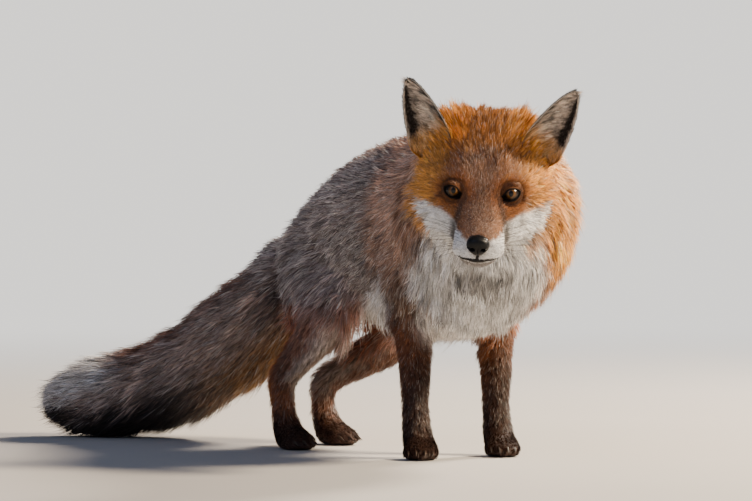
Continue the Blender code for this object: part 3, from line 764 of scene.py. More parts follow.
def head_marks(at, tone):
    """The mask: rust with a greyed middle, golden at its edges and crown, white cheeks and dark streaks."""
    face = FacePlan(at)
    side, y, z = face.side, face.y, face.z
    crown, middle_grey, brow = face.crown, face.middle, face.brow
    white = face_white(face, at.rough)
    fur = blend(blend(tone["rust"], tone["russet"], 0.35), tone["orange"], 0.30 + 0.35 * at.broad)
    fur = blend(fur, tone["buff"], 0.45)
    fur = blend(fur, tone["umber"] * 1.3, np.maximum(middle_grey * 0.45, brow * 0.35))
    fur = blend(fur, tone["grizzle"], np.maximum(middle_grey * 0.25, brow * 0.10))
    fur = blend(fur, tone["russet"], smoothstep(0.25, 0.75, clouds(at.points, 0.011, 8)) * brow * 0.6)
    fur = blend(fur, tone["orange"], crown * 0.4)
    fur = scaled(fur, 1 - 0.25 * crown * smoothstep(0.026, 0.010, side + 0.006 * at.broad))
    golden = smoothstep(0.030, 0.055, side) * smoothstep(-0.020, 0.020, y)
    beside = crown * smoothstep(0.012, 0.036, side) * smoothstep(0.07, 0.10, y + z)
    golden = np.maximum(golden * 0.8, beside)
    golden = np.maximum(golden, smoothstep(0.30, 0.80, clouds(at.points, 0.010, 9)) * brow * 0.6)
    fur = blend(fur, tone["gold"], golden * (0.65 + 0.3 * at.rough))
    bridge = smoothstep(0.015, 0.009, side) * smoothstep(0.004, -0.004, y) * smoothstep(-0.030, -0.020, z)
    fur = blend(fur, tone["umber"], bridge * 0.40)
    round_eye = smoothstep(0.024, 0.012, face.round_eye)
    fur = blend(fur, blend(tone["rust"], tone["buff"], 0.35), round_eye * 0.7)
    fur = blend(fur, tone["umber"] * 0.5, face_streaks(face))
    fur = blend(fur, tone["white"], white)
    # Painted shade in the white, in the muzzle's crease and under the chin, and grey locks.
    fur = blend(fur, tone["ash"] * 0.36, white * shade_and_locks_on_white(face, at.points))
    below_lips = mouth_height(y) - z
    chin = smoothstep(0.0, 0.002, below_lips) * smoothstep(0.012, 0.005, below_lips)
    fur = blend(fur, tone["umber"] * 0.6, chin * smoothstep(-0.055, -0.066, y) * 0.7)
    greyed = 0.04 + 0.12 * np.maximum(middle_grey, brow) + 0.06 * crown
    frost = smoothstep(0.010, 0.018, face.round_eye) * greyed * (1 - white)
    return Marks(fur, white, frost, 0.10 * (1 - white))


def markings(points, groups):
    """The coat's colours at points of the skin, given how much of each group is there: a dictionary of the
    hair's colour at its root, which is dark underfur painted darker still as shade between tufts, along it
    and at its tip, the shares of pale-tipped and black-tipped hairs, and how far clumps differ in tone."""
    tone = palette()
    at = Spots(points)
    share = dict(zip(GROUPS, groups.T))
    foreleg, hindleg = foreleg_marks(at, tone), hindleg_marks(at, tone)
    marks = {
        "head": head_marks(at, tone),
        "neck": neck_marks(at, tone),
        "trunk": trunk_marks(at, tone),
        "tail": tail_marks(at, tone),
        "foreleg": foreleg,
        "hindleg": hindleg,
        "forepaw": Marks(foreleg.colour, 0, 0, 0),
        "hindpaw": Marks(hindleg.colour, 0, 0, 0),
    }
    mid = sum(scaled(marks[name].colour, share[name]) for name in GROUPS)
    white_fur = np.clip(sum(marks[name].pale * share[name] for name in GROUPS), 0, 1)
    tip = blend(mid, np.minimum(mid * 1.35, 0.9), 0.6 * (1 - white_fur))
    # Locks and patches a little lighter and darker than the rest
    patchy = 0.16 * at.broad + 0.22 * clouds(points, 0.013, 11) + 0.16 * clouds(points, 0.006, 12)
    varied = share["trunk"] + share["tail"] + 0.7 * share["neck"] + 0.8 * share["head"]
    mid = scaled(mid, np.exp(patchy * varied))
    long_fur = 0.08 * (share["trunk"] + share["tail"]) + share["neck"] * (0.04 + 0.18 * marks["neck"].pale)
    return {
        "mid": mid,
        "tip": tip,
        # Roots: dark underfur, painted darker still as the shade in the gaps between tufts.
        "deep": blend(mid * 0.28, tone["ash"] * 0.30, white_fur),
        "frost": sum(marks[name].frost * share[name] for name in GROUPS),
        "sable": sum(marks[name].sable * share[name] for name in GROUPS),
        "spread": CLUMP_SPREAD + long_fur,
    }


# ------------------
# Skin


def flesh_meshes():
    """The flesh nodes as merged meshes, each as its points and triangles."""
    found = {}
    for name in FLESH:
        bm = bmesh.new()
        bm.from_mesh(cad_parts[name].data)
        bmesh.ops.remove_doubles(bm, verts=bm.verts, dist=0.00001)
        mesh = bpy.data.meshes.new(name)
        bm.to_mesh(mesh)
        bm.free()
        found[name] = arrays(mesh)
        bpy.data.meshes.remove(mesh)
    return found


def fuse(parts):
    """One closed mesh round the parts, each swollen a little so that it meets the next."""
    points, triangles, first = [], [], 0
    for own, faces in parts.values():
        points.append(own + point_normals(own, faces) * SWELL)
        triangles.append(faces + first)
        first += len(own)
    whole = new_object("fused", np.vstack(points), [np.vstack(triangles)])
    remesh = whole.modifiers.new("fuse", "REMESH")
    remesh.mode = "VOXEL"
    remesh.voxel_size = SKIN_VOXEL
    mesh = bpy.data.meshes.new_from_object(whole.evaluated_get(bpy.context.evaluated_depsgraph_get()))
    bpy.data.objects.remove(whole)
    return mesh


def nearest_node(points, parts):
    """The name of the node that each point is nearest to."""
    corners, triangles, owners, first = [], [], [], 0
    names = list(parts)
    for number, (own, faces) in enumerate(parts.values()):
        corners.append(own)
        triangles.append(faces + first)
        owners += [number] * len(faces)
        first += len(own)
    tree = BVHTree.FromPolygons(np.vstack(corners).tolist(), np.vstack(triangles).tolist())
    found = [owners[tree.find_nearest(point)[2]] for point in points.tolist()]
    return names, np.array(found)


def head_coat(local):
    """Depth, length and width of the head's coat: short on the muzzle and by the eyes, long in the ruff."""
    x, y, z = mirrored(local).T
    back = smoothstep(-0.045, 0.060, y)
    cheek = smoothstep(0.030, 0.060, x) * smoothstep(0.014, -0.024, z) * smoothstep(-0.036, 0.010, y)
    throat = smoothstep(-0.040, -0.060, z) * smoothstep(-0.062, -0.015, y)
    ruff = np.maximum(cheek, throat)
    depth = 1.3 + 6.5 * back**1.5 + 8.0 * ruff
    length = 3.6 + 4.5 * smoothstep(-0.030, 0.012, y) + 10 * back**2 + 16 * ruff
    width = 0.37 + 0.28 * back + 0.33 * ruff
    eye = np.hypot(x - EYE_SIDE, z) + 10 * np.maximum(0, y - 0.02)
    bare = np.exp(-((eye / 0.015) ** 2))
    return mix(depth, 1.2, bare), mix(length, 4.2, bare), mix(width, 0.34, bare)


def lie_of_coat(points, groups):
    """The way that the hair lies at each point, before it is evened out: a weight of each group's own way."""
    share = dict(zip(GROUPS, groups.T[..., None]))
    down = np.array((0, 0, -1.0))
    _, back, offset = along(TRUNK, points)
    rise = unit(offset)[:, 2:3]
    trunk = back + 0.55 * down * (1 - np.maximum(rise, 0))
    plan = points - ORIGIN
    leg_way = np.zeros_like(points)
    nearest = np.full((len(points), 1), np.inf)
    for line in LEGS.values():
        _, way, gap = along(line, points)
        size = np.linalg.norm(gap, axis=1, keepdims=True)
        leg_way = np.where(size < nearest, way, leg_way)
        nearest = np.minimum(size, nearest)
    thigh = smoothstep(0.225, 0.155, plan[:, 2:3]) * smoothstep(0.060, 0.040, nearest)
    trunk = trunk + 2.0 * thigh * leg_way
    fringe = smoothstep(0.175, 0.150, plan[:, 2:3]) * smoothstep(0.02, 0.06, plan[:, 1:2])
    trunk = trunk + 1.2 * fringe * down
    neck = 0.6 * back + 0.9 * down * (1 - np.maximum(rise, 0))
    _, tail, tail_gap = along(TAIL, points)
    local = in_head(points)
    head = unit(local - NOSE_TIP)
    outward = np.sign(local[:, :1]) * smoothstep(0.02, 0.05, np.abs(local[:, :1]))
    low = smoothstep(0.02, -0.03, local[:, 2:3]) * smoothstep(-0.04, 0.02, local[:, 1:2])
    head = head + low * (np.array((0, 0, -0.7)) + outward * np.array((0.35, 0, 0)))
    for side in (-1, 1):
        away = local - np.array((side * EYE_SIDE, -0.006, 0))
        head = head + 0.9 * unit(away) * np.exp(-((np.linalg.norm(away, axis=1, keepdims=True) / 0.016) ** 2))
    head = head @ HEAD_AXES.T
    head = head + 0.8 * down * smoothstep(0.045, 0.085, local[:, 1:2])
    leg = leg_way + np.array((0, 0.18, 0))
    toes = {}
    for kind in ("forepaw", "hindpaw"):
        turn = math.radians((PAW_TURNS[f"{kind}_right"] + PAW_TURNS[f"{kind}_left"]) / 2)
        toes[kind] = np.array((math.sin(turn), -math.cos(turn), -0.5))
    return (
        share["head"] * unit(head)
        + share["neck"] * unit(neck)
        + share["trunk"] * unit(trunk)
        + share["tail"] * unit(tail + 0.25 * unit(tail_gap))
        + (share["foreleg"] + share["hindleg"]) * unit(leg)
        + share["forepaw"] * unit(toes["forepaw"])
        + share["hindpaw"] * unit(toes["hindpaw"])
    )


def mouth_height(y):
    (y0, z0), (y1, z1) = MOUTH_LINE
    return z0 + (y - y0) * (z1 - z0) / (y1 - y0)


def shape_coat(coat, on_head, points, groups):
    """The coat's depth, length and width: the head's own on the head, none under the feet, long below the
    belly, and no longer on the tail than what is left of it."""
    coat = blend(coat, np.column_stack(on_head), smoothstep(0.5, 0.95, groups[:, 0]))
    y, z = points[:, 1] - ORIGIN[1], points[:, 2]
    coat[:, 0] *= smoothstep(0.0005, 0.012, z)
    belly = groups[:, 2] * smoothstep(0.172, 0.150, z) * smoothstep(0.02, 0.06, y)
    coat[:, 1] += belly * (12 + 14 * smoothstep(0.06, 0.11, y))
    way, _, _ = along(TAIL, points)
    left_of_tail = (1 - way) * TAIL_LENGTH / MM
    shorter = np.minimum(coat[:, 1], left_of_tail * 0.9 + 15)
    coat[:, 1] = np.where(groups[:, 3] > 0.5, shorter, coat[:, 1])
    return coat


def carve_head(points, triangles, coat):
    """Sinks the hollow before each ear, where the coat is shorter, the pits that the eyes lie in, and the
    groove of the mouth: the skin's points, and where they were in the head's frame before the groove."""
    local = in_head(points)
    hollow = np.exp(-((np.linalg.norm(mirrored(local) - EAR_HOLLOW, axis=1) / 0.019) ** 2))
    local = local - in_head_way(point_normals(points, triangles)) * (hollow * 0.013)[:, None]
    coat[:, :2] *= 1 - 0.5 * hollow[:, None]
    for side, _ in SIDES:
        axis = eye_opening_axis(side)
        away = local - np.array((side * EYE_SIDE, 0, 0))
        ahead = away @ axis
        off = np.linalg.norm(away - ahead[:, None] * axis, axis=1)
        push = smoothstep(0.0132, 0.0108, off) * (ahead > -0.004)
        local = local - axis * (push * np.maximum(ahead - 0.0005, 0))[:, None]
    gap = np.abs(local[:, 2] - mouth_height(local[:, 1]))
    groove = smoothstep(0.0035, 0.0, gap) * smoothstep(-0.034, -0.044, local[:, 1])
    points = from_head(local) - point_normals(points, triangles) * (groove * 0.0016)[:, None]
    points[:, 2] = np.maximum(points[:, 2], 0.0004)
    return points, local


def raise_crown(coat, local, on_head):
    """Lengthens the hair beside the crown, and tells how upright hair stands: most there, by the ears."""
    x, y, z = mirrored(local).T
    bristle = smoothstep(0.020, 0.045, y) * smoothstep(0.110, 0.080, y) * smoothstep(0.010, 0.030, z)
    beside = smoothstep(0.010, 0.032, x) * smoothstep(0.060, 0.045, x)
    coat[:, 1] *= 1 + 0.45 * on_head * bristle * beside
    return 1 + on_head * bristle * (0.4 + 1.6 * beside)


# How many times things are evened out over the skin
GROUP_ROUNDS = 40
SHAPE_ROUNDS = 14
COAT_ROUNDS = 50
FLOW_ROUNDS = 30
SINK_STEPS = 8  # the skin sinks under the coat in so many steps


def make_skin():
    parts = flesh_meshes()
    mesh = fuse(parts)
    points, triangles = arrays(mesh)
    weave = Weave(mesh)
    names, owner = nearest_node(points, parts)
    table = np.array([COATS[name] for name in names])[owner]
    member = np.array([GROUPS.index(FLESH[name]) for name in names])[owner]
    groups = weave.even(np.eye(len(GROUPS))[member], GROUP_ROUNDS)

    on_head = head_coat(in_head(points))
    small = (groups[:, 0] > 0.5) | (groups[:, 6:].sum(1) > 0.5)  # the head and the paws
    points = weave.even(points, SHAPE_ROUNDS, np.where(small, 0.25, 0.6))
    coat = shape_coat(weave.even(table, COAT_ROUNDS), on_head, points, groups)
    for _ in range(SINK_STEPS):
        points = points - point_normals(points, triangles) * (coat[:, :1] * MM / SINK_STEPS)
        points = weave.even(points, 1, 0.25)
    points, local = carve_head(points, triangles, coat)

    normals = point_normals(points, triangles)
    flow = weave.even(lie_of_coat(points, groups), FLOW_ROUNDS)
    flow = unit(flow - dot(flow, normals) * normals)
    # A tuft shows its colour where its outer half lies, and not over its root.
    seen = points + flow * (coat[:, 1:2] * MM * 0.55) + normals * (coat[:, :1] * MM * 0.8)
    colours = markings(seen, groups)
    bare = smoothstep(SOLE, 0.0015, points[:, 2])
    base = blend(blend(colours["deep"], colours["mid"], 0.55), palette()["sable"], bare)
    skin = new_object("skin", points, [quads(mesh)])
    bpy.data.meshes.remove(mesh)
    paint(skin, "coat", base)
    skin.data.materials.append(skin_material())
    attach(skin, "root")
    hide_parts(*FLESH)
    upright = raise_crown(coat, local, groups[:, 0])
    grounds["skin"] = Ground(
        points,
        triangles,
        flow=flow,
        depth=coat[:, 0] * MM * upright,
        length=coat[:, 1] * MM,
        width=coat[:, 2] * MM,
        **colours,
    )
    grounds["owner"] = np.array(names)[owner]


def quads(mesh):
    corners = np.empty(len(mesh.loops), np.int32)
    mesh.loops.foreach_get("vertex_index", corners)
    if len(corners) != 4 * len(mesh.polygons):
        raise RuntimeError("the fused mesh isn't all quads")
    return corners.reshape(-1, 4)


# ------------------
# Coat

ROWS = np.array((0.0, 0.38, 0.75, 1.0))  # how far along its length each row of a long tuft lies
SHAPE = np.array((0.75, 1.0, 0.62, 0.0))  # a tuft's width at each row, as a share
SHORT = {"rows": np.array((0.0, 0.5, 1.0)), "shape": np.array((0.85, 0.8, 0.0))}  # tufts of short hair
PATCH = 0.003  # a tuft's patch on the map for baking


def tuft_faces(count, rows):
    """The faces of many tufts, each of pairs of points and a single point at its tip."""
    size = 2 * (rows - 1) + 1
    first = np.arange(count)[:, None] * size
    four = np.concatenate([first + np.array((k, k + 1, k + 3, k + 2)) for k in range(0, size - 3, 2)])
    three = first + np.array((size - 3, size - 2, size - 1))
    return [four, three]


def scatter(ground, chosen, count, rng):
    """Roots spread evenly over some triangles: the corners each lies between and its weights."""
    corners = ground.triangles[chosen]
    spots = ground.points[corners]
    areas = np.linalg.norm(np.cross(spots[:, 1] - spots[:, 0], spots[:, 2] - spots[:, 0]), axis=1)
    if "density" in ground.fields:
        areas = areas * ground.fields["density"][corners].mean(1)
    total = areas.cumsum()
    pick = np.searchsorted(total, (np.arange(count) + rng.random(count)) / count * total[-1])
    pick = np.minimum(pick, len(corners) - 1)
    a, b = rng.random((2, count))
    over = a + b > 1
    a[over], b[over] = 1 - a[over], 1 - b[over]
    return corners[pick], np.column_stack([1 - a - b, a, b])


def nearest(spots, points):
    """For each point, the number of the spot that it is nearest to."""
    tree = KDTree(len(spots))
    for number, spot in enumerate(spots.tolist()):
        tree.insert(spot, number)
    tree.balance()
    return np.array([tree.find(point)[1] for point in points.tolist()])


def clumps(roots, every, rng):
    """The roots that are clump centres, one in so many, and for each root the centre it is nearest to."""
    centres = rng.choice(len(roots), max(1, len(roots) // every), replace=False)
    return centres, nearest(roots[centres], roots)


def tuft_colours(at, rows, chance, frosted, shade):
    """The colours of tufts' points: deep at the root, and pale or black at the tips of some tufts."""
    tone = palette()
    blackened = chance > 1 - at("sable")
    deep, mid, tip = at("deep"), at("mid"), at("tip")
    tip = np.where(frosted[:, None], blend(mid, tone["frost"], 0.85), tip)
    tip = np.where(blackened[:, None], blend(mid, tone["sable"], 0.85), tip)
    colours = np.empty((len(chance), 2 * len(rows) - 1, 3))
    for k, t in enumerate(rows):
        low = blend(deep, mid, min(1.0, t / 0.4))
        row = blend(low, tip, max(0.0, (t - 0.4) / 0.5) if t < 0.9 else 1.0) * shade[:, None]
        colours[:, 2 * k : 2 * k + 2] = row[:, None]
    return np.clip(colours.reshape(-1, 3), 0, 0.92)


def grow(name, ground, chosen, count, unwrap, seed, rows=ROWS, shape=SHAPE, every=14, pull=0.55, sway=0.16):
    """A piece of the coat: tufts on some of the ground's triangles, as one mesh."""
    rng = np.random.default_rng(seed)
    corners, weights = scatter(ground, chosen, count, rng)

    def at(field):
        return ground.at(corners, weights, field)

    root, normal = at("points"), unit(at("normal"))
    flow = at("flow")
    flow = unit(flow - dot(flow, normal) * normal)
    length = at("length") * rng.uniform(0.78, 1.15, count)
    width = at("width") * rng.uniform(0.75, 1.25, count) * 1.0
    guard = rng.random(count) < 0.12
    length = np.where(guard, length * 1.25, length)
    width = np.where(guard, width * 0.7, width)
    centres, clump = clumps(root, every, rng)
    clump_turn = rng.normal(0, sway, len(centres))[clump]
    clump_tone = rng.normal(0, 1, len(centres))[clump] * at("spread")
    clump_size = rng.uniform(0.82, 1.08, len(centres))[clump]
    length = length * clump_size
    rise = np.clip(at("depth") / (0.55 * length), 0.10, 1.5) * rng.uniform(0.80, 1.20, count)
    rise = rise * rng.uniform(0.65, 1.15, len(centres))[clump]
    rise = np.where(guard, rise * 1.15, rise)
    side = np.cross(flow, normal)
    turn = clump_turn + rng.normal(0, sway * 0.6, count)
    flow = unit(flow + side * turn[:, None])
    side = np.cross(flow, normal)
    roll = rng.normal(0, 0.35, count)[:, None]
    side = side * np.cos(roll) + normal * np.sin(roll)
    bend = rng.normal(0, 0.06, count)
    to_centre = root[centres][clump] - root
    to_centre = to_centre - dot(to_centre, normal) * normal

    chance = rng.random(count)
    frosted = chance < at("frost")
    width = np.where(frosted, width * 0.75, width)
    points = np.empty((count, 2 * len(rows) - 1, 3))
    for k, t in enumerate(rows):
        ahead = length * t * (1 - 0.22 * rise**2)
        high = length * rise * (t - 0.45 * t**2) - 0.0006 * (1 - t)
        line = root + flow * ahead[:, None] + normal * high[:, None]
        line = line + side * (bend * length * t**2)[:, None] + to_centre * (pull * t**1.5)
        half = (width * shape[k] / 2)[:, None]
        if k < len(rows) - 1:
            points[:, 2 * k] = line - side * half
            points[:, 2 * k + 1] = line + side * half
        else:
            points[:, 2 * k] = line
    points[..., 2] = np.maximum(points[..., 2], 0.0003)

    shade = np.exp(clump_tone + rng.normal(0, 0.16, count))
    made = new_object(name, points.reshape(-1, 3), tuft_faces(count, len(rows)))
    paint(made, "coat", tuft_colours(at, rows, chance, frosted, shade))
    place_patches(made, unwrap(root), rows)
    made.data.materials.append(bpy.data.materials.get(FUR_NAME) or fur_material())
    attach(made, "root")
    return made


def place_patches(made, spots, rows):
    """The map for baking: each tuft is a small patch at its root's place."""
    size = 2 * len(rows) - 1
    across = np.array([-0.5 if k % 2 == 0 else 0.5 for k in range(size - 1)] + [0.0])
    up = np.array([rows[k // 2] - 0.5 for k in range(size)])
    low, high = spots.min(0), spots.max(0)
    spots = 0.01 + 0.98 * (spots - low) / np.maximum(high - low, 1e-9)
    uv = spots[:, None] + np.stack([across, up], -1)[None] * PATCH
    corners = np.empty(len(made.data.loops), np.int32)
    made.data.loops.foreach_get("vertex_index", corners)
    layer = made.data.uv_layers.new(name="OFBake")
    layer.data.foreach_set("uv", uv.reshape(-1, 2)[corners].astype(np.float32).ravel())


def round_line(line):
    """An unwrap round a line: how far round it, and how far along it, a point lies."""

    def unwrap(points):
        way, direction, offset = along(line, points)
        across = unit(np.cross(direction, np.array((0.0, 0.3, 1.0))))
        above = np.cross(across, direction)
        round_it = np.arctan2((offset * across).sum(1), -(offset * above).sum(1))
        return np.column_stack([round_it, way])

    return unwrap


def round_head(points):
    """An unwrap of the head round its length."""
    x, y, z = in_head(points).T
    return np.column_stack([np.arctan2(x, z + 0.02), y])


# Each piece of the coat: its nodes, number of tufts, side (1 left, -1 right, 0 both), and the line that it is
# unwrapped round
COAT_PIECES = [
    ("coat_neck", ("neck",), 38500, 0, TRUNK),
    ("coat_chest_left", ("chest",), 21500, 1, TRUNK),
    ("coat_chest_right", ("chest",), 23500, -1, TRUNK),
    ("coat_loins_left", ("loins",), 21500, 1, TRUNK),
    ("coat_loins_right", ("loins",), 24500, -1, TRUNK),
    ("coat_tail_base", ("tail_base",), 15000, 0, TAIL),
    ("coat_tail_brush", ("tail_brush",), 21000, 0, TAIL),
    ("coat_tail_tip", ("tail_tip",), 10000, 0, TAIL),
]
LIMB_PIECES = [
    ("foreleg_right", 9500),
    ("foreleg_left", 9500),
    ("hindleg_right", 10000),
    ("hindleg_left", 10000),
    ("forepaw_right", 4500),
    ("forepaw_left", 4500),
    ("hindpaw_right", 4000),
    ("hindpaw_left", 4000),
]
FACE_TUFTS = 35000  # on each side
MANE_TUFTS = 32000
LONG_HAIR = 0.0095  # hair of the head that is longer than this is made with four rows, as the mane
PIT_RADIUS = 0.0108  # no hair grows so near the middle of an eye


def make_coat():
    ground = grounds["skin"]
    owner = grounds["owner"][ground.triangles[:, 0]]
    middles = ground.points[ground.triangles].mean(1)
    covered = middles[:, 2] > SOLE * 0.8
    _, _, offset = along(TRUNK, middles)
    left = offset[:, 0] > 0
    made = []
    for number, (name, nodes, count, side, line) in enumerate(COAT_PIECES):
        chosen = covered & np.isin(owner, nodes)
        if side:
            chosen &= left if side > 0 else ~left
        every, pull = (26, 0.7) if name == "coat_neck" else (15, 0.6)
        unwrap = round_line(line)
        made.append(
            grow(name, ground, np.flatnonzero(chosen), count, unwrap, 20 + number, every=every, pull=pull)
        )
        "tail_fur" if "tail" in name else "grizzled_fur"
    for number, (node, count) in enumerate(LIMB_PIECES):
        chosen = np.flatnonzero(covered & (owner == node))
        unwrap = round_line(LEGS[node.replace("paw", "leg")])
        made.append(grow(f"coat_{node}", ground, chosen, count, unwrap, 60 + number, **SHORT, every=8))
        "dark_fur" if "paw" in node else "rust_fur"

    head = covered & np.isin(owner, ("head", "jaw"))
    long_hair = ground.fields["length"][ground.triangles].mean(1) > LONG_HAIR
    local = in_head(middles)
    in_pit = np.zeros(len(middles), bool)
    for side, _ in SIDES:
        off = (local - np.array((side * EYE_SIDE, 0, 0)))[:, [0, 2]]
        in_pit |= np.linalg.norm(off, axis=1) < PIT_RADIUS
    nose = np.linalg.norm((local - NOSE_AT) / np.array((0.0115, 0.010, 0.0100)), axis=1) < 1
    above_lips = local[:, 2] - mouth_height(local[:, 1])
    lips = (np.abs(above_lips) < 0.0024) & (local[:, 1] < -0.040)
    cleft = (np.abs(local[:, 0]) < 0.0013) & (above_lips > 0)
    lips |= cleft & (local[:, 2] < -0.025) & (local[:, 1] < -0.070)
    head &= ~((in_pit & (local[:, 1] < 0.01)) | nose | lips)
    for side, word in SIDES:
        name, chosen = f"coat_face_{word}", np.flatnonzero(head & ~long_hair & (local[:, 0] * side > 0))
        style = {**SHORT, "every": 7, "pull": 0.35, "sway": 0.12}
        made.append(grow(name, ground, chosen, FACE_TUFTS, round_head, 81 + side, **style))
    chosen = np.flatnonzero(head & long_hair)
    made.append(grow("coat_mane", ground, chosen, MANE_TUFTS, round_head, 81, every=16))
    for piece in made[-3:]:
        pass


# ------------------
# Eyes and lids

PUPIL = (0.0023, 0.0034)  # half width and half height
PUPIL_BLACK = (0.0004, 0.0003, 0.0003, 1)
IRIS_RADIUS = 0.0062


def eye_opening_axis(side):
    level = math.cos(EYE_LIFT)
    return np.array((side * math.sin(EYE_TURN) * level, -math.cos(EYE_TURN) * level, math.sin(EYE_LIFT)))


def eye_axes(side):
    """An eye's middle, the way it looks, to the viewer, and its two cross directions, in the head's frame."""
    place = np.array((side * EYE_SIDE, 0, 0))
    viewer = TO_VIEWER * VIEW_AWAY + np.array((0, 0, VIEW_HEIGHT)) + ORIGIN
    gaze = unit((viewer - from_head(place)) @ HEAD_AXES)
    across = unit(np.cross(gaze, np.array((0, 0, 1.0))))
    return place, gaze, across, np.cross(across, gaze)


def make_eye(side, name):
    rings, spokes = 56, 72
    place, gaze, across, up = eye_axes(side)
    polar = np.linspace(0, math.pi, rings)
    round_it = np.arange(spokes) * 2 * math.pi / spokes
    off = np.sin(polar)[:, None] * np.ones(spokes)
    bulge = 0.0011 * np.exp(-((polar[:, None] / 0.52) ** 4)) * np.ones(spokes)
    ahead = np.cos(polar)[:, None] * EYE_RADIUS + bulge
    x, y = off * np.cos(round_it) * EYE_RADIUS, off * np.sin(round_it) * EYE_RADIUS
    local = place + x[..., None] * across + y[..., None] * up + ahead[..., None] * gaze
    local = local.reshape(-1, 3)
    made = new_object(name, from_head(local), [grid_faces(rings, spokes, closed=True)])
    flat = np.column_stack([x.ravel(), y.ravel()])
    made.data.attributes.new("pupil_plane", "FLOAT_VECTOR", "POINT")
    plane = np.column_stack([flat, ahead.ravel()])
    made.data.attributes["pupil_plane"].data.foreach_set("vector", plane.astype(np.float32).ravel())
    close_poles(made)
    made.data.materials.append(bpy.data.materials.get(EYE_NAME) or eye_material())
    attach(made, "root")
    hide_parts(name.replace("eyeball", "eye"))


def close_poles(made):
    """Merges the points at the ends of a turned shape, and turns its faces outwards."""
    bm = bmesh.new()
    bm.from_mesh(made.data)
    bmesh.ops.remove_doubles(bm, verts=bm.verts, dist=0.000005)
    bmesh.ops.recalc_face_normals(bm, faces=bm.faces)
    bm.to_mesh(made.data)
    bm.free()
    made.data.shade_smooth()


def eye_material():
    # A taxidermist's glass eye: amber iris with fine spokes behind clear glass, a dark ring and an upright
    # pupil. The glass gives a sharp, wet highlight.
    made, tree = new_material(EYE_NAME)
    colours = bpy.context.scene.fox_colours
    plane = add_node(tree, "ShaderNodeAttribute", attribute_name="pupil_plane")
    parts = add_node(tree, "ShaderNodeSeparateXYZ", {"Vector": plane.outputs["Vector"]})
    flat = add_node(
        tree, "ShaderNodeVectorMath", {0: plane.outputs["Vector"], 1: (1, 1, 0)}, operation="MULTIPLY"
    )
    off = add_node(tree, "ShaderNodeVectorMath", {0: flat.outputs["Vector"]}, operation="LENGTH")
    angle = reckon(tree, "ARCTAN2", parts.outputs["Y"], parts.outputs["X"])
    spoke_place = add_node(tree, "ShaderNodeCombineXYZ", {"X": angle, "Y": off.outputs["Value"]})
    spoke_scale = add_node(
        tree, "ShaderNodeMapping", {"Vector": spoke_place.outputs["Vector"], "Scale": (9, 60, 1)}
    )
    spokes = add_node(
        tree, "ShaderNodeTexNoise", {"Vector": spoke_scale.outputs["Vector"], "Scale": 1.0, "Detail": 3.0}
    )
    spread = add_node(
        tree, "ShaderNodeMapRange", {"Value": off.outputs["Value"], "From Max": IRIS_RADIUS, "To Max": 1.0}
    )
    ramp = add_node(tree, "ShaderNodeValToRGB", {"Fac": spread.outputs["Result"]})
    amber = np.array(colours.iris)
    stops = [(0.20, amber * 1.1), (0.52, amber * 1.25), (0.80, amber * 0.45), (0.95, amber * 0.05)]
    for spot, _ in stops[1:-1]:
        ramp.color_ramp.elements.new(spot)
    for element, (spot, tint) in zip(ramp.color_ramp.elements, stops):
        element.position = spot
        element.color = (*np.clip(tint, 0, 1), 1)
    shade = add_node(
        tree,
        "ShaderNodeMapRange",
        {"Value": spokes.outputs["Fac"], "From Min": 0.3, "From Max": 0.7, "To Min": 0.55, "To Max": 1.35},
    )
    iris = mixed(tree, 1.0, ramp.outputs["Color"], shade.outputs["Result"], "MULTIPLY")
    squeeze = add_node(
        tree,
        "ShaderNodeVectorMath",
        {0: flat.outputs["Vector"], 1: (1 / PUPIL[0], 1 / PUPIL[1], 0)},
        operation="MULTIPLY",
    )
    reach = add_node(tree, "ShaderNodeVectorMath", {0: squeeze.outputs["Vector"]}, operation="LENGTH")
    pupil = add_node(
        tree, "ShaderNodeMapRange", {"Value": reach.outputs["Value"], "From Min": 0.9, "From Max": 1.12}
    )
    seen = mixed(tree, pupil.outputs["Result"], PUPIL_BLACK, iris)
    finish_shader(
        tree,
        Base_Color=seen,
        Roughness=0.5,
        Specular_IOR_Level=0.1,
        Coat_Weight=0.5,
        Coat_Roughness=0.03,
    )
    return made


# An eye's opening, from its middle: half length, and half height above and below
OPENING = (0.0086, 0.0056, 0.0050)
LID_SLANT = math.radians(20)  # the outer corner is the higher
LID_THICK = 0.0014
LID_FOOT = 0.0150  # how far out, from the eye's middle, the lids meet the skin
LID_DEPTH = 0.0009  # how far under the skin they end there
LID_SPOKES = 72
LID_MARGIN = 3  # rows of the lids' ring at their margin, on the eye
LID_TUFTS = 3000


def opening_outline(angles, side):
    """The almond outline of an eye's opening: sideways and up, for angles counted from the outer corner."""
    length, above, below = OPENING
    across = length * np.cos(angles)
    tall = np.where(np.sin(angles) > 0, above, below) * np.abs(np.sin(angles)) ** 1.25
    high = np.sign(np.sin(angles)) * tall
    inner = smoothstep(0.2, 1.0, -np.cos(angles))
    high = high - 0.0012 * inner
    across = across - 0.0012 * inner**3
    turned_x = across * math.cos(LID_SLANT) - high * math.sin(LID_SLANT)
    turned_y = across * math.sin(LID_SLANT) + high * math.cos(LID_SLANT)
    return side * turned_x, turned_y


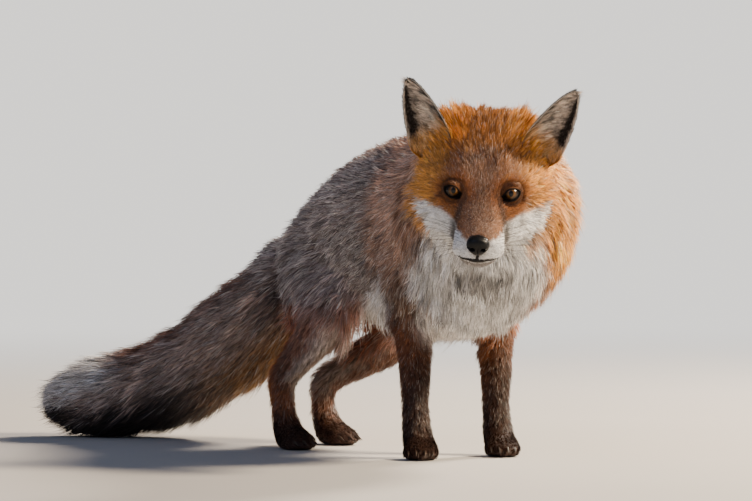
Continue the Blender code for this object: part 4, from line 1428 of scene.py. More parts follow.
def lid_rows(side, angles, tree):
    """The rows of an eye's lids, both as one ring, in the head's frame: from behind their margin, over the
    eye, and out to just under the skin."""
    place = np.array((side * EYE_SIDE, 0, 0))
    axis = eye_opening_axis(side)
    across = unit(np.cross(np.array((0, 0, 1.0)), axis))
    across = across if across[0] > 0 else -across
    up = np.cross(axis, across)
    up = up if up[2] > 0 else -up
    rim = np.column_stack(opening_outline(angles, side))
    way = unit(rim)

    def on_ball(flat, radius):
        ahead = np.sqrt(np.maximum(radius**2 - (flat**2).sum(1), 0))
        return place + flat[:, :1] * across + flat[:, 1:] * up + ahead[:, None] * axis

    def under_skin(flat):
        found = []
        toward = Vector(-axis @ HEAD_AXES.T)
        for point in place + flat[:, :1] * across + flat[:, 1:] * up + 0.03 * axis:
            spot, normal, _, _ = tree.ray_cast(Vector(from_head(point)), toward)
            if spot is None:
                raise RuntimeError("an eyelid misses the head")
            found.append(in_head(np.array(spot + normal * -LID_DEPTH)))
        return np.array(found)

    foot = under_skin(way * LID_FOOT)
    slope = (foot - under_skin(way * (LID_FOOT + 0.0015))) / 0.0015
    rows = [on_ball(rim * 1.12, EYE_RADIUS - 0.0006), on_ball(rim, EYE_RADIUS + 0.0002)]
    rows.append(on_ball(rim + way * 0.0003, EYE_RADIUS + LID_THICK * 0.75))
    start = on_ball(rim + way * 0.0011, EYE_RADIUS + LID_THICK)
    lead = on_ball(rim + way * 0.0021, EYE_RADIUS + LID_THICK) - start
    span = np.linalg.norm(foot - start, axis=1, keepdims=True)
    for t in np.linspace(0, 1, 12):
        cubic = (2 * t**3 - 3 * t**2 + 1) * start + (t**3 - 2 * t**2 + t) * unit(lead) * span
        cubic = cubic + (3 * t**2 - 2 * t**3) * foot - (t**3 - t**2) * slope * span
        rows.append(cubic)
    return np.stack(rows)


def make_lids(side, name, tree):
    """Both lids of an eye, and the hair on them."""
    angles = np.arange(LID_SPOKES) * 2 * math.pi / LID_SPOKES
    grid = lid_rows(side, angles, tree)
    points = from_head(grid.reshape(-1, 3))
    made = new_object(name, points, [grid_faces(len(grid), LID_SPOKES, closed=True)])
    face_outwards(made, eye_opening_axis(side) @ HEAD_AXES.T)
    share = np.zeros((len(points), len(GROUPS)))
    share[:, 0] = 1
    colours = markings(points, share)
    # Black along the margin, and farther out at the eye's inner corner
    black = linear("0a0807")
    row = np.repeat(np.arange(len(grid)), LID_SPOKES)
    distance = np.linalg.norm(in_head(points) - np.tile(grid[1], (len(grid), 1)), axis=1)
    inner = np.tile(smoothstep(0.6, 1.0, -np.cos(angles)), len(grid))
    rim_share = smoothstep(0.0023 + 0.0032 * inner, 0.0012 + 0.0022 * inner, distance)
    # The lids' skin painted darker than the face's fur, as the brow's shadow.
    paint(made, "coat", blend(colours["mid"] * 0.6, black, np.where(row < LID_MARGIN, 1, rim_share)))
    made.data.materials.append(skin_material())
    made.data.materials[0].name = "Eyelid, fine short hair"
    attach(made, "root")
    # The lids' hair, too, is painted darker, as the brow's shadow.
    for key in ("deep", "mid", "tip"):
        colours[key] = blend(colours[key] * 0.62, black, rim_share)
    _, triangles = arrays(made.data)
    grow_lid_hair(side, name, tree, (points, triangles), row, distance, colours)


def grow_lid_hair(side, name, tree, sheet, row, distance, colours):
    """Short hair on the lids, which lies as the face's beside it does, and away from the lids' margin."""
    points, triangles = sheet
    outward = unit(points - from_head((side * EYE_SIDE, 0, 0)))
    normals = point_normals(points, triangles)
    away = unit(outward - dot(outward, normals) * normals)
    on_skin = [tree.find_nearest(Vector(point)) for point in points]
    above = np.array([(Vector(point) - near[0]).dot(near[1]) for point, near in zip(points, on_skin)])
    match = nearest(grounds["skin"].points, np.array([near[0] for near in on_skin]))
    flow = grounds["skin"].fields["flow"][match] + 0.35 * away
    flow = unit(flow - dot(flow, normals) * normals)
    near_rim = np.minimum(distance, 0.008)
    ground = Ground(
        points,
        triangles,
        flow=flow,
        depth=0.0006 + 0.06 * near_rim,
        length=0.0014 + 0.42 * near_rim,
        width=0.00030 + 0.015 * near_rim,
        **colours,
    )
    chosen = (row[triangles] > LID_MARGIN + 1).all(1) & (above[triangles] > -0.0002).all(1)
    style = {**SHORT, "every": 6, "pull": 0.25, "sway": 0.10}
    made = grow(f"{name}_hair", ground, np.flatnonzero(chosen), LID_TUFTS, round_head, 90 + side, **style)


def face_outwards(made, outward):
    """Turns an open sheet's faces so that most of them face this way."""
    normals = np.empty(len(made.data.polygons) * 3)
    made.data.polygons.foreach_get("normal", normals)
    if (normals.reshape(-1, 3) @ np.array(outward)).sum() < 0:
        made.data.flip_normals()


def skin_tree():
    points, triangles = arrays(bpy.data.objects["skin"].data)
    return BVHTree.FromPolygons(points.tolist(), triangles.tolist())


# ------------------
# Nose and mouth


def make_nose():
    """The nose pad: a rounded block of leather with comma-shaped nostrils and a groove down its middle."""
    rings, spokes = 72, 96
    polar = np.linspace(0, math.pi, rings)[:, None]
    round_it = np.arange(spokes)[None] * 2 * math.pi / spokes
    x = np.sin(polar) * np.cos(round_it)
    z = np.sin(polar) * np.sin(round_it)
    y = -np.cos(polar) * np.ones_like(round_it)
    shape = np.stack([x, y, z], -1).reshape(-1, 3)
    size = (np.abs(shape) ** 2.6).sum(1, keepdims=True) ** (1 / 2.6)
    shape = shape / size  # a rounded block
    x, y, z = shape.T
    low = np.maximum(0, -z)
    x = x * (1 - 0.52 * low**1.3)
    z = z + 0.10 * (1 - np.abs(x)) * (z > 0) * z
    points = np.column_stack([x * 0.0117, y * 0.0086, z * 0.0098])
    front = smoothstep(0.0, -0.005, points[:, 1])
    for side in (-1, 1):
        hole = np.array((side * 0.0054, -0.0010))
        off = points[:, [0, 2]] - hole
        near = np.linalg.norm(off / np.array((0.0027, 0.0021)), axis=1)
        points[:, 1] += 0.0052 * smoothstep(1.15, 0.35, near) * front
        # The comma's tail runs outwards and back along the side of the pad.
        tail = np.hypot((np.abs(points[:, 0]) - 0.0094) / 0.0030, (points[:, 2] + 0.0002) / 0.0011)
        wing = smoothstep(1.0, 0.2, tail) * (points[:, 0] * side > 0)
        points[:, 0] -= side * 0.0016 * wing
        points[:, 1] += 0.0016 * wing * front
    groove = smoothstep(0.0010, 0.0, np.abs(points[:, 0])) * front * smoothstep(0.004, -0.002, points[:, 2])
    points[:, 1] += 0.0011 * groove
    made = new_object("nose_pad", from_head(points + NOSE_AT), [grid_faces(rings, spokes, closed=True)])
    close_poles(made)
    made.data.materials.append(leather_material("Nose leather, damp", "050506", 0.55 * MM, 0.42))
    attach(made, "root")
    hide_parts("nose")


LIP_STEPS = 60


def make_lips():
    """The black lips along the mouth, and the cleft from the nose down to them."""
    tree = skin_tree()
    material = leather_material("Lip leather, matt black", "120f0f", 0.45 * MM, 0.45)

    def on_skin(local, lift):
        spot, normal, _, _ = tree.find_nearest(Vector(from_head(local)))
        return in_head(np.array(spot + normal * lift)), np.array(normal) @ HEAD_AXES

    line, normals = [], []
    for t in np.linspace(-1, 1, LIP_STEPS):
        angle = t * math.radians(90)
        y = -0.0335 - 0.052 * math.cos(angle) ** 0.8
        x = 0.0275 * math.sin(angle)
        spot, normal = on_skin((x * 1.15, y * 1.06, mouth_height(y)), 0.0004)
        line.append(spot)
        normals.append(normal)
    line = evened(np.array(line), 3)
    out = np.abs(np.linspace(-1, 1, LIP_STEPS))
    wide = 0.0004 + 0.0015 * smoothstep(0.75, 0.35, out) + 0.0006 * smoothstep(0.35, 0.10, out)
    tube("lips", line, wide, 0.7, np.array(normals), material)

    cleft, normals = [], []
    for t in np.linspace(0, 1, 12):
        z = mix(-0.0275, mouth_height(-0.086) - 0.0006, t)
        spot, normal = on_skin((0, -0.095, z), 0.0003)
        cleft.append(spot)
        normals.append(normal)
    tube("philtrum", evened(np.array(cleft), 1), np.full(12, 0.0014), 0.7, np.array(normals), material)


def evened(line, rounds):
    for _ in range(rounds):
        line[1:-1] = (line[:-2] + 2 * line[1:-1] + line[2:]) / 4
    return line


def tube(name, line, wide, flat, normals, material, sides=10):
    """A flattened tube along a line in the head's frame, closed at its ends."""
    ways = unit(np.gradient(line, axis=0))
    across = unit(np.cross(ways, normals))
    out = unit(np.cross(across, ways))
    angles = np.arange(sides) * 2 * math.pi / sides
    ring = np.cos(angles)[None, :, None] * across[:, None]
    ring = ring + flat * np.sin(angles)[None, :, None] * out[:, None]
    body = line[:, None] + ring * wide[:, None, None]
    ends = [np.repeat(line[k][None], sides, 0)[None] for k in (0, -1)]
    grid = np.concatenate([ends[0], body, ends[1]])
    made = new_object(name, from_head(grid.reshape(-1, 3)), [grid_faces(len(grid), sides, closed=True)])
    close_poles(made)
    made.data.materials.append(material)
    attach(made, "root")


# ------------------
# Ears


def ear_place(side):
    return (
        Matrix.Translation((side * EAR_BASE[0], EAR_BASE[1], EAR_BASE[2]))
        @ Matrix.Rotation(side * EAR_LEAN[side], 4, "Y")
        @ Matrix.Rotation(side * EAR_OPENS, 4, "Z")
    )


def ear_sheet(side, shift):
    """The middle surface of an ear, moved this far backwards: rows from its base up, columns across."""
    v = np.linspace(-0.06, 1.0, EAR_ALONG)[:, None] * 0.999
    s = np.linspace(-1, 1, EAR_ACROSS)[None]
    # The edge nearer the crown springs from higher up.
    v = v + 0.24 * smoothstep(0.1, 1.0, -s * side) * (1 - v) ** 3
    up = np.maximum(v, 0)
    narrow = 0.30 * smoothstep(0.30, -0.06, v) * smoothstep(0.6, -0.4, s * side)
    half = EAR_HALF_WIDTH * np.maximum(1 - up**1.9, 0) ** 0.62 * (1 - narrow)
    bend = np.radians(82 - 40 * up)
    radius = half / np.sin(bend)
    angle = bend * s
    ahead = radius * (np.cos(bend) - np.cos(angle))
    x = radius * np.sin(angle)
    y = -ahead - 0.010 * (1 - v)
    z = v * EAR_LENGTH
    # The edges roll out a little, most near the base.
    roll = smoothstep(0.75, 1.0, np.abs(s)) * 0.0016 * (1 - up)
    # At its base the outer edge turns back under the mane.
    tuck = smoothstep(0.2, 1.0, s * side) * smoothstep(0.20, -0.04, v)
    x, y = x - side * 0.003 * tuck, y + 0.011 * tuck
    local = np.stack([x, y + roll, z], -1).reshape(-1, 3)
    turn = np.array(ear_place(side))
    local = local @ turn[:3, :3].T + turn[:3, 3]
    points = from_head(local)
    triangles = grid_faces(EAR_ALONG, EAR_ACROSS)
    normals = point_normals(points, np.concatenate([triangles[:, :3], triangles[:, [0, 2, 3]]]))
    backward = np.array((0, 1.0, 0)) @ turn[:3, :3].T @ HEAD_AXES.T
    if (normals @ backward).mean() < 0:
        normals = -normals
    return points + normals * shift, normals


class Ear:
    """An ear's two sheets, and how far up it and how far across it each of their points lies."""

    def __init__(self, side, name):
        self.side = side
        self.name = name
        self.turn = np.array(ear_place(side))
        self.back, out = ear_sheet(side, EAR_WALL / 2)
        self.front, _ = ear_sheet(side, -EAR_WALL / 2)
        self.up = np.repeat(np.linspace(-0.06, 1, EAR_ALONG), EAR_ACROSS)
        self.across = np.tile(np.linspace(-1, 1, EAR_ACROSS), EAR_ALONG)
        self.inward = -self.across * side  # 1 at the edge nearer the crown
        self.faces = grid_faces(EAR_ALONG, EAR_ACROSS)
        split = np.concatenate([self.faces[:, :3], self.faces[:, [0, 2, 3]]])
        outwards = (point_normals(self.back, split) * out).sum() > 0
        self.outer = split if outwards else split[:, ::-1]

    def way(self, direction):
        """A direction in the ear's own frame, as one in the world."""
        return np.array(direction) @ self.turn[:3, :3].T @ HEAD_AXES.T

    def unwrap(self, points):
        local = (in_head(points) - self.turn[:3, 3]) @ self.turn[:3, :3]
        return np.column_stack([np.arctan2(local[:, 0], -local[:, 1] + 0.004), local[:, 2]])

    def grow(self, part, points, triangles, flow, fields, count, seed, **style):
        """Hair on one of the sheets."""
        normals = point_normals(points, triangles)
        flow = unit(flow - dot(flow, normals) * normals)
        ground = Ground(points, triangles, flow=flow, **fields)
        everywhere = np.arange(len(triangles))
        made = grow(f"{self.name}_{part}", ground, everywhere, count, self.unwrap, seed + self.side, **style)


def ear_tones(ear):
    """The colours of an ear's back, black above rust, and of the dark skin inside with its pale edge."""
    tone = palette()
    up, off = ear.up, np.abs(ear.across)
    back = blend(tone["sable"], tone["rust"], smoothstep(0.22, 0.02, up + 0.1 * off) * 0.9)
    back = blend(back, tone["gold"], smoothstep(0.80, 0.95, off) * smoothstep(0.45, 0.25, up) * 0.8)
    cup = blend(linear("1a1412"), linear("6b5a50"), smoothstep(-0.1, 0.7, ear.inward) * 0.6)
    cup = blend(cup, tone["frost"] * 0.8, smoothstep(0.86, 0.97, off) * smoothstep(0.10, 0.35, up))
    cup = blend(cup, tone["orange"] * 0.6, smoothstep(0.30, 0.10, up) * smoothstep(0.7, 0.9, off))
    return back, cup


def make_ear(side, name):
    """An ear's shell, then the velvet on its back and the lining of its cup."""
    ear = Ear(side, name)
    count = len(ear.back)
    index = np.arange(count).reshape(EAR_ALONG, EAR_ACROSS)
    rim = np.concatenate([index[:, 0], index[-1, 1:], index[-2::-1, -1], index[0, -2:0:-1]])
    ahead = np.roll(rim, -1)
    edge = np.column_stack([rim, ahead, ahead + count, rim + count])
    points = np.vstack([ear.back, ear.front])
    made = new_object(name, points, [np.concatenate([ear.faces, ear.faces[:, ::-1] + count, edge])])
    close_poles(made)
    back_tone, cup_tone = ear_tones(ear)
    merged, _ = arrays(made.data)
    paint(made, "coat", np.vstack([back_tone, cup_tone])[nearest(points, merged)])
    ear_skin = bpy.data.materials.get(EAR_SKIN_NAME) or skin_material()
    ear_skin.name = EAR_SKIN_NAME
    made.data.materials.append(ear_skin)
    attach(made, "root")
    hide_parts(name.replace("ear_shell", "ear"))
    grow_ear_back(ear, back_tone)
    grow_ear_lining(ear)


def grow_ear_back(ear, back_tone):
    """Short hair that lies towards the tip, with a painted rim light along the edge, and longer at the base.
    """
    ones = np.ones(len(ear.back))
    # Painted rim light: the hair along the ear's edge made paler.
    rim_light = smoothstep(0.90, 1.0, np.abs(ear.across)) * smoothstep(0.15, 0.45, ear.up)
    mid = blend(back_tone, palette()["frost"] * 0.7, rim_light * 0.8)
    fields = {
        "depth": 1.0 * MM * ones,
        "length": (4.5 + 5 * smoothstep(0.25, 0.0, ear.up)) * MM,
        "width": 0.5 * MM * ones,
        "deep": mid * 0.6,
        "mid": mid,
        "tip": mid * 1.3,
        "frost": 0.04 * ones,
        "sable": 0.15 * ones,
    }
    flow = np.tile(ear.way((0, 0, 1.0)), (len(ear.back), 1))
    style = {**SHORT, "every": 6, "pull": 0.3, "sway": 0.12}
    ear.grow("back", ear.back, ear.outer, flow, fields, EAR_BACK_TUFTS, 110, **style)


def grow_ear_lining(ear):
    """Long pale hair that springs from the edge nearer the crown and sweeps across the cup, a pale fringe on
    the far edge, and a dark recess between."""
    tone = palette()
    up = ear.up
    lush = smoothstep(-0.62, 0.20, ear.inward)
    fringe = smoothstep(0.80, 0.95, -ear.inward)
    base_hair = smoothstep(0.34, 0.14, up)
    covered = np.clip(lush + 0.8 * fringe + base_hair, 0, 1)
    cream = blend(tone["gold"], tone["white"], 0.65)
    pale = blend(tone["ash"] * 0.25, cream, np.clip(0.65 + 1.3 * clouds(ear.front, 0.0035, 7), 0, 1))
    pale = blend(pale, tone["gold"], smoothstep(0.40, 0.12, up) * 0.75)
    pale = blend(linear("221b18"), pale, covered)
    outward, tipward = ear.way((ear.side, 0, 0)), ear.way((0, 0, 1.0))
    sweep = outward * (0.9 * lush - 0.35 * fringe)[:, None] + tipward * (0.55 + 0.4 * fringe)[:, None]
    ones = np.ones(len(ear.front))
    fields = {
        "depth": (0.8 + 2.6 * lush * (1 - 0.6 * up) + 1.5 * base_hair) * MM,
        "length": (4 + 17 * lush * (1 - 0.6 * up) + 8 * base_hair) * MM,
        "width": 0.45 * MM * ones,
        "density": 0.45 + 0.55 * covered,
        "deep": blend(pale * 0.35, linear("1a1412"), 0.3),
        "mid": pale * 0.85,
        "tip": pale * 1.15,
        "frost": 0.25 * covered,
        "sable": 0.16 * ones,
    }
    inner = ear.outer[:, ::-1]
    ear.grow("lining", ear.front, inner, sweep, fields, EAR_LINING_TUFTS, 120, every=12, pull=0.7)


# ------------------
# Claws and whiskers


def make_claws():
    """Each claw: a curved horn, flat at its sides, from its node's root to its tip."""
    material = claw_material()
    for name in sorted(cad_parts):
        if not name.startswith("claw_"):
            continue
        points, _ = arrays(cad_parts[name].data)
        paw = "_".join(name.split("_")[1:3])
        turn = math.radians(PAW_TURNS[paw])
        ahead = np.array((math.sin(turn), -math.cos(turn), 0))
        across = np.array((-ahead[1], ahead[0], 0))
        reach = (points - points.mean(0)) @ ahead
        root = points[reach < reach.min() + 0.0002].mean(0)
        tip = points[reach.argmax()]
        length = np.linalg.norm(tip - root)
        steps, sides = 14, 12
        t = np.linspace(0, 1, steps)[:, None, None]
        angle = (np.arange(sides) * 2 * math.pi / sides)[None, :, None]
        drop = tip[2] - root[2]
        line = root + ahead * t * length * 0.98 + np.array((0, 0, 1.0)) * (drop * t**2)
        thick = 0.0016 * (1 - t**2.2) + 0.0001
        grid = line + across * np.cos(angle) * thick * 0.62 + np.array((0, 0, 1.0)) * np.sin(angle) * thick
        heel = np.broadcast_to(root, (1, sides, 3))
        point = np.broadcast_to(grid[-1:].mean(1, keepdims=True), (1, sides, 3))
        grid = np.concatenate([heel, grid, point])
        horn = name.replace("claw", "horn")
        made = new_object(horn, grid.reshape(-1, 3), [grid_faces(len(grid), sides, closed=True)])
        close_poles(made)
        made.data.materials.append(material)
        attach(made, "root")
        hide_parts(name)


def claw_material():
    # Claw horn: dark, layered along its length and worn, with a low waxy shine.
    made, tree = new_material("Claw horn, waxy")
    place = add_node(tree, "ShaderNodeTexCoord")
    stretch = add_node(tree, "ShaderNodeMapping", {"Vector": place.outputs["Object"], "Scale": (1, 0.25, 3)})
    layers = add_node(tree, "ShaderNodeTexNoise", {"Vector": stretch.outputs["Vector"], "Scale": 900.0})
    shade = two_tones(tree, layers, linear("1c1613"), linear("5a4a3c"))
    bump = add_node(
        tree, "ShaderNodeBump", {"Height": layers.outputs["Fac"], "Strength": 0.4, "Distance": 0.0001}
    )
    finish_shader(
        tree,
        Base_Color=shade,
        Roughness=0.38,
        Specular_IOR_Level=0.5,
        Normal=bump.outputs["Normal"],
    )
    return made


def whisker_material():
    # Whisker: a stiff black bristle with a thin lengthwise gleam.
    made, tree = new_material("Whisker bristle, black")
    place = add_node(tree, "ShaderNodeTexCoord")
    noise = add_node(tree, "ShaderNodeTexNoise", {"Vector": place.outputs["Object"], "Scale": 400.0})
    shade = two_tones(tree, noise, linear("0b0a0a"), linear("2b2523"))
    finish_shader(tree, Base_Color=shade, Roughness=0.35, Specular_IOR_Level=0.5)
    return made


def whisker_tree(material):
    """Geometry Nodes that put a tapered, bent bristle on each point, along its aim and of its reach."""
    tree = bpy.data.node_groups.new("Whiskers", "GeometryNodeTree")
    face = tree.interface
    face.new_socket("Geometry", in_out="INPUT", socket_type="NodeSocketGeometry")
    for name, value in (("Thickness", 0.00032), ("Droop", 0.16), ("Length spread", 0.12)):
        socket = face.new_socket(name, in_out="INPUT", socket_type="NodeSocketFloat")
        socket.default_value = value
    socket = face.new_socket("Seed", in_out="INPUT", socket_type="NodeSocketInt")
    socket.default_value = 5
    face.new_socket("Geometry", in_out="OUTPUT", socket_type="NodeSocketGeometry")
    given = add_node(tree, "NodeGroupInput")
    droop = reckon(tree, "MULTIPLY", given.outputs["Droop"], -1.0)
    bow = add_node(tree, "ShaderNodeCombineXYZ", {"X": droop, "Z": 1.0})
    curve = add_node(
        tree,
        "GeometryNodeCurveQuadraticBezier",
        {"Resolution": 12, "Start": (0, 0, 0), "Middle": (0, 0, 0.5), "End": bow.outputs[0]},
    )
    along_it = add_node(tree, "GeometryNodeSplineParameter")
    taper = add_node(
        tree,
        "ShaderNodeMapRange",
        {"Value": along_it.outputs["Factor"], "To Min": 1.0, "To Max": 0.15},
    )
    circle = add_node(tree, "GeometryNodeCurvePrimitiveCircle", {"Resolution": 5, "Radius": 1.0})
    aim = add_node(tree, "GeometryNodeInputNamedAttribute", {"Name": "aim"}, data_type="FLOAT_VECTOR")
    reach = add_node(tree, "GeometryNodeInputNamedAttribute", {"Name": "reach"}, data_type="FLOAT")
    turn = add_node(
        tree, "FunctionNodeAlignRotationToVector", {"Vector": aim.outputs["Attribute"]}, axis="Z"
    )
    low = reckon(tree, "SUBTRACT", 1.0, given.outputs["Length spread"])
    high = reckon(tree, "ADD", 1.0, given.outputs["Length spread"])
    chance = add_node(
        tree,
        "FunctionNodeRandomValue",
        {"Min": low, "Max": high, "Seed": given.outputs["Seed"]},
        data_type="FLOAT",
    )
    size = reckon(tree, "MULTIPLY", reach.outputs["Attribute"], chance.outputs["Value"])
    placed = add_node(
        tree,
        "GeometryNodeInstanceOnPoints",
        {
            "Points": given.outputs["Geometry"],
            "Instance": curve.outputs["Curve"],
            "Rotation": turn.outputs["Rotation"],
            "Scale": size,
        },
    )
    real = add_node(tree, "GeometryNodeRealizeInstances", {"Geometry": placed.outputs["Instances"]})
    thick = reckon(tree, "MULTIPLY", taper.outputs["Result"], given.outputs["Thickness"])
    body = add_node(
        tree,
        "GeometryNodeCurveToMesh",
        {
            "Curve": real.outputs["Geometry"],
            "Profile Curve": circle.outputs["Curve"],
            "Scale": thick,
            "Fill Caps": True,
        },
    )
    coated = add_node(
        tree, "GeometryNodeSetMaterial", {"Geometry": body.outputs["Mesh"], "Material": material}
    )
    add_node(tree, "NodeGroupOutput", {"Geometry": coated.outputs["Geometry"]})
    return tree


def make_whiskers():
    sizes = bpy.context.scene.fox_sizes
    skin = skin_tree()
    rng = np.random.default_rng(31)
    roots, aims, reaches = [], [], []
    for side in (-1, 1):
        for row in range(4):
            for step in range(5 - row % 2):
                y = -0.072 + 0.0068 * step + 0.003 * (row % 2)
                z = -0.0225 - 0.0042 * row + 0.0006 * step
                start = Vector(from_head((side * 0.06, y, z)))
                toward = Vector(np.array((-side, 0, 0)) @ HEAD_AXES.T)
                spot, normal, _, _ = skin.ray_cast(start, toward)
                if spot is None:
                    continue
                aim = np.array((side * 0.85, 0.28 + 0.06 * step, 0.10 - 0.17 * row)) + rng.normal(0, 0.09, 3)
                roots.append(tuple(spot - normal * 0.0008))
                aims.append(unit(aim) @ HEAD_AXES.T)
                reaches.append(sizes.whisker_length * (0.35 + 0.13 * step) * rng.uniform(0.85, 1.1))
        for step in range(3):
            start = from_head((side * (0.022 + 0.004 * step), -0.05, 0.017 + 0.001 * step))
            spot, normal, _, _ = skin.find_nearest(Vector(start))
            aim = np.array((side * (0.25 + 0.15 * step), -0.45, 0.85))
            roots.append(tuple(spot - normal * 0.0008))
            aims.append(unit(aim) @ HEAD_AXES.T)
            reaches.append(sizes.whisker_length * 0.32)
    mesh = bpy.data.meshes.new("whisker_roots")
    mesh.from_pydata(roots, [], [])
    mesh.attributes.new("aim", "FLOAT_VECTOR", "POINT").data.foreach_set("vector", np.array(aims).ravel())
    mesh.attributes.new("reach", "FLOAT", "POINT").data.foreach_set("value", reaches)
    holder = bpy.data.objects.new("whisker_roots", mesh)
    bpy.context.scene.collection.objects.link(holder)
    tree = whisker_tree(whisker_material())
    nodes = holder.modifiers.new("whiskers", "NODES")
    nodes.node_group = tree
    for item in tree.interface.items_tree:
        if item.in_out == "INPUT" and item.name == "Thickness":
            nodes[item.identifier] = sizes.whisker_thickness
    made_mesh = bpy.data.meshes.new_from_object(holder.evaluated_get(bpy.context.evaluated_depsgraph_get()))
    made = bpy.data.objects.new("whiskers", made_mesh)
    bpy.context.scene.collection.objects.link(made)
    bpy.data.objects.remove(holder)
    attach(made, "root")


# ------------------
# Stage


BACKDROP = (1.36, 1.32, 1.26, 1)
SKYLIGHT = (0.13, 0.15, 0.205, 1)
CAMERA_LENS = 272.87
CAMERA_AIM = (-0.0858, 0.2195)  # across and up, where the middle of the picture falls


def make_stage():
    """A pale floor that fades into a backdrop of one colour all round, soft lamps and the camera."""
    across = np.array((math.cos(VIEW_TURN), math.sin(VIEW_TURN), 0))
    corners = np.array([(x, y, -0.0002) for x, y in ((-40, -40), (40, -40), (40, 40), (-40, 40))], float)
    floor = new_object("floor", corners, [np.array([[0, 1, 2, 3]])])
    made, tree = new_material("Studio paper, matt")
    place = add_node(tree, "ShaderNodeTexCoord")
    noise = add_node(tree, "ShaderNodeTexNoise", {"Vector": place.outputs["Object"], "Scale": 2.0})
    shade = two_tones(tree, noise, linear("b2aea8"), linear("b9b5b0"))
    paper = add_node(tree, "ShaderNodeBsdfPrincipled", {"Base Color": shade, "Roughness": 0.9})
    far = add_node(tree, "ShaderNodeVectorMath", {0: place.outputs["Object"]}, operation="LENGTH")
    fade = add_node(
        tree,
        "ShaderNodeMapRange",
        {"Value": far.outputs["Value"], "From Min": 0.6, "From Max": 3.2},
        interpolation_type="SMOOTHSTEP",
    )
    glow = add_node(tree, "ShaderNodeEmission", {"Color": BACKDROP})
    both = add_node(
        tree,
        "ShaderNodeMixShader",
        {"Fac": fade.outputs["Result"], 1: paper.outputs["BSDF"], 2: glow.outputs["Emission"]},
    )
    add_node(tree, "ShaderNodeOutputMaterial", {"Surface": both.outputs["Shader"]})
    floor.data.materials.append(made)

    def lamp(name, away, turn, height, size, power, tint):
        """A soft lamp on a circle round the fox: turn counts from the viewer to the right."""
        angle = VIEW_TURN + math.radians(turn)
        data = bpy.data.lights.new(name, "AREA")
        data.shape = "DISK"
        data.size = size
        data.energy = power
        data.color = linear(tint)
        made = bpy.data.objects.new(name, data)
        made.location = (away * math.sin(angle), -away * math.cos(angle), height)
        aim = Vector((0, 0, 0.22)) - made.location
        made.rotation_euler = aim.to_track_quat("-Z", "Y").to_euler()
        bpy.context.scene.collection.objects.link(made)

    lamp("key", 2.4, 78, 1.9, 0.6, 250, "ffeacc")
    lamp("fill", 3.0, -30, 2.4, 2.0, 19, "c8d8ff")
    lamp("rim", 2.4, 140, 1.8, 0.6, 190, "ffeeda")
    # The sky's light is dim and cool, but the camera sees it as the backdrop.
    world = bpy.data.worlds.new("studio")
    world.use_nodes = True
    tree = world.node_tree
    tree.nodes.clear()
    rays = add_node(tree, "ShaderNodeLightPath")
    seen = mixed(tree, rays.outputs["Is Camera Ray"], SKYLIGHT, BACKDROP)
    sky = add_node(tree, "ShaderNodeBackground", {"Color": seen})
    add_node(tree, "ShaderNodeOutputWorld", {"Surface": sky.outputs["Background"]})
    bpy.context.scene.world = world

    data = bpy.data.cameras.new("camera")
    data.lens = CAMERA_LENS
    data.sensor_width = 36
    data.clip_end = 40
    camera = bpy.data.objects.new("camera", data)
    spot = TO_VIEWER * VIEW_AWAY + np.array((0, 0, VIEW_HEIGHT)) + ORIGIN
    aim = across * CAMERA_AIM[0] + np.array((0, 0, CAMERA_AIM[1])) + ORIGIN
    camera.location = spot
    camera.rotation_euler = Vector(aim - spot).to_track_quat("-Z", "Y").to_euler()
    bpy.context.scene.collection.objects.link(camera)
    bpy.context.scene.camera = camera


# ------------------
# Add-on: what a user can change, the steps and the panel


def colour_property(key):
    code, label, text = COLOURS[key]
    return bpy.props.FloatVectorProperty(
        name=label, description=text, subtype="COLOR", size=3, min=0, max=1, default=tuple(linear(code))
    )


class FoxColours(bpy.types.PropertyGroup):
    """Colours of the coat and the eyes"""

    __annotations__ = {key: colour_property(key) for key in COLOURS}


class FoxSizes(bpy.types.PropertyGroup):
    """Sizes that don't change the outline"""

    whisker_length: bpy.props.FloatProperty(
        name="Whisker length",
        description="Length of the longest whiskers",
        default=0.070,
        unit="LENGTH",
        min=0,
    )
    whisker_thickness: bpy.props.FloatProperty(
        name="Whisker thickness",
        description="Radius of a whisker's root",
        default=0.00022,
        unit="LENGTH",
        min=0,
    )


class FoxSkin(bpy.types.Operator):
    """Make the one skin that replaces the flesh"""

    bl_idname = "fox.skin"
    bl_label = "Skin"

    def execute(self, context):
        make_skin()
        return {"FINISHED"}


class FoxCoat(bpy.types.Operator):
    """Grow the coat over the skin"""

    bl_idname = "fox.coat"
    bl_label = "Coat"

    def execute(self, context):
        make_coat()
        return {"FINISHED"}


class FoxEyes(bpy.types.Operator):
    """Make the eyes and their lids"""

    bl_idname = "fox.eyes"
    bl_label = "Eyes and lids"

    def execute(self, context):
        tree = skin_tree()
        for side, word in SIDES:
            make_eye(side, f"eyeball_{word}")
            make_lids(side, f"lids_{word}", tree)
        return {"FINISHED"}


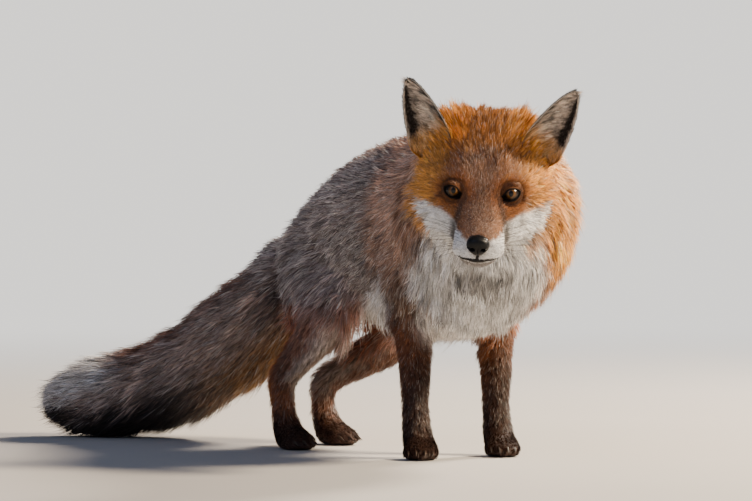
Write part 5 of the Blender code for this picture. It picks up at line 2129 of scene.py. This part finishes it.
class FoxNose(bpy.types.Operator):
    """Make the nose pad and the lips"""

    bl_idname = "fox.nose"
    bl_label = "Nose and lips"

    def execute(self, context):
        make_nose()
        make_lips()
        return {"FINISHED"}


class FoxEars(bpy.types.Operator):
    """Make the ears, with their backs' velvet and their lining of long hair"""

    bl_idname = "fox.ears"
    bl_label = "Ears"

    def execute(self, context):
        for side, word in SIDES:
            make_ear(side, f"ear_shell_{word}")
        return {"FINISHED"}


class FoxClaws(bpy.types.Operator):
    """Make the claws"""

    bl_idname = "fox.claws"
    bl_label = "Claws"

    def execute(self, context):
        make_claws()
        return {"FINISHED"}


class FoxWhiskers(bpy.types.Operator):
    """Set the whiskers in the muzzle"""

    bl_idname = "fox.whiskers"
    bl_label = "Whiskers"

    def execute(self, context):
        make_whiskers()
        return {"FINISHED"}


class FoxStage(bpy.types.Operator):
    """Lay the floor, and set the lamps and the camera"""

    bl_idname = "fox.stage"
    bl_label = "Stage"

    def execute(self, context):
        make_stage()
        return {"FINISHED"}


STEPS = (FoxStage, FoxSkin, FoxCoat, FoxEyes, FoxNose, FoxEars, FoxClaws, FoxWhiskers)


class FoxPanel(bpy.types.Panel):
    """The fox's steps, sizes and colours"""

    bl_idname = "VIEW3D_PT_fox"
    bl_label = "Red fox"
    bl_space_type = "VIEW_3D"
    bl_region_type = "UI"
    bl_category = "Fox"

    def draw(self, context):
        for step in STEPS:
            self.layout.operator(step.bl_idname)
        for group in (context.scene.fox_sizes, context.scene.fox_colours):
            for key in group.bl_rna.properties.keys():
                if key not in ("name", "rna_type"):
                    self.layout.prop(group, key)


CLASSES = (FoxColours, FoxSizes, *STEPS, FoxPanel)


def register():
    for each in CLASSES:
        bpy.utils.register_class(each)
    bpy.types.Scene.fox_colours = bpy.props.PointerProperty(type=FoxColours)
    bpy.types.Scene.fox_sizes = bpy.props.PointerProperty(type=FoxSizes)


def unregister():
    del bpy.types.Scene.fox_sizes
    del bpy.types.Scene.fox_colours
    for each in reversed(CLASSES):
        bpy.utils.unregister_class(each)


def main():
    register()
    for step in STEPS:
        family, action = step.bl_idname.split(".")
        getattr(getattr(bpy.ops, family), action)()


if __name__ == "__main__":
    main()
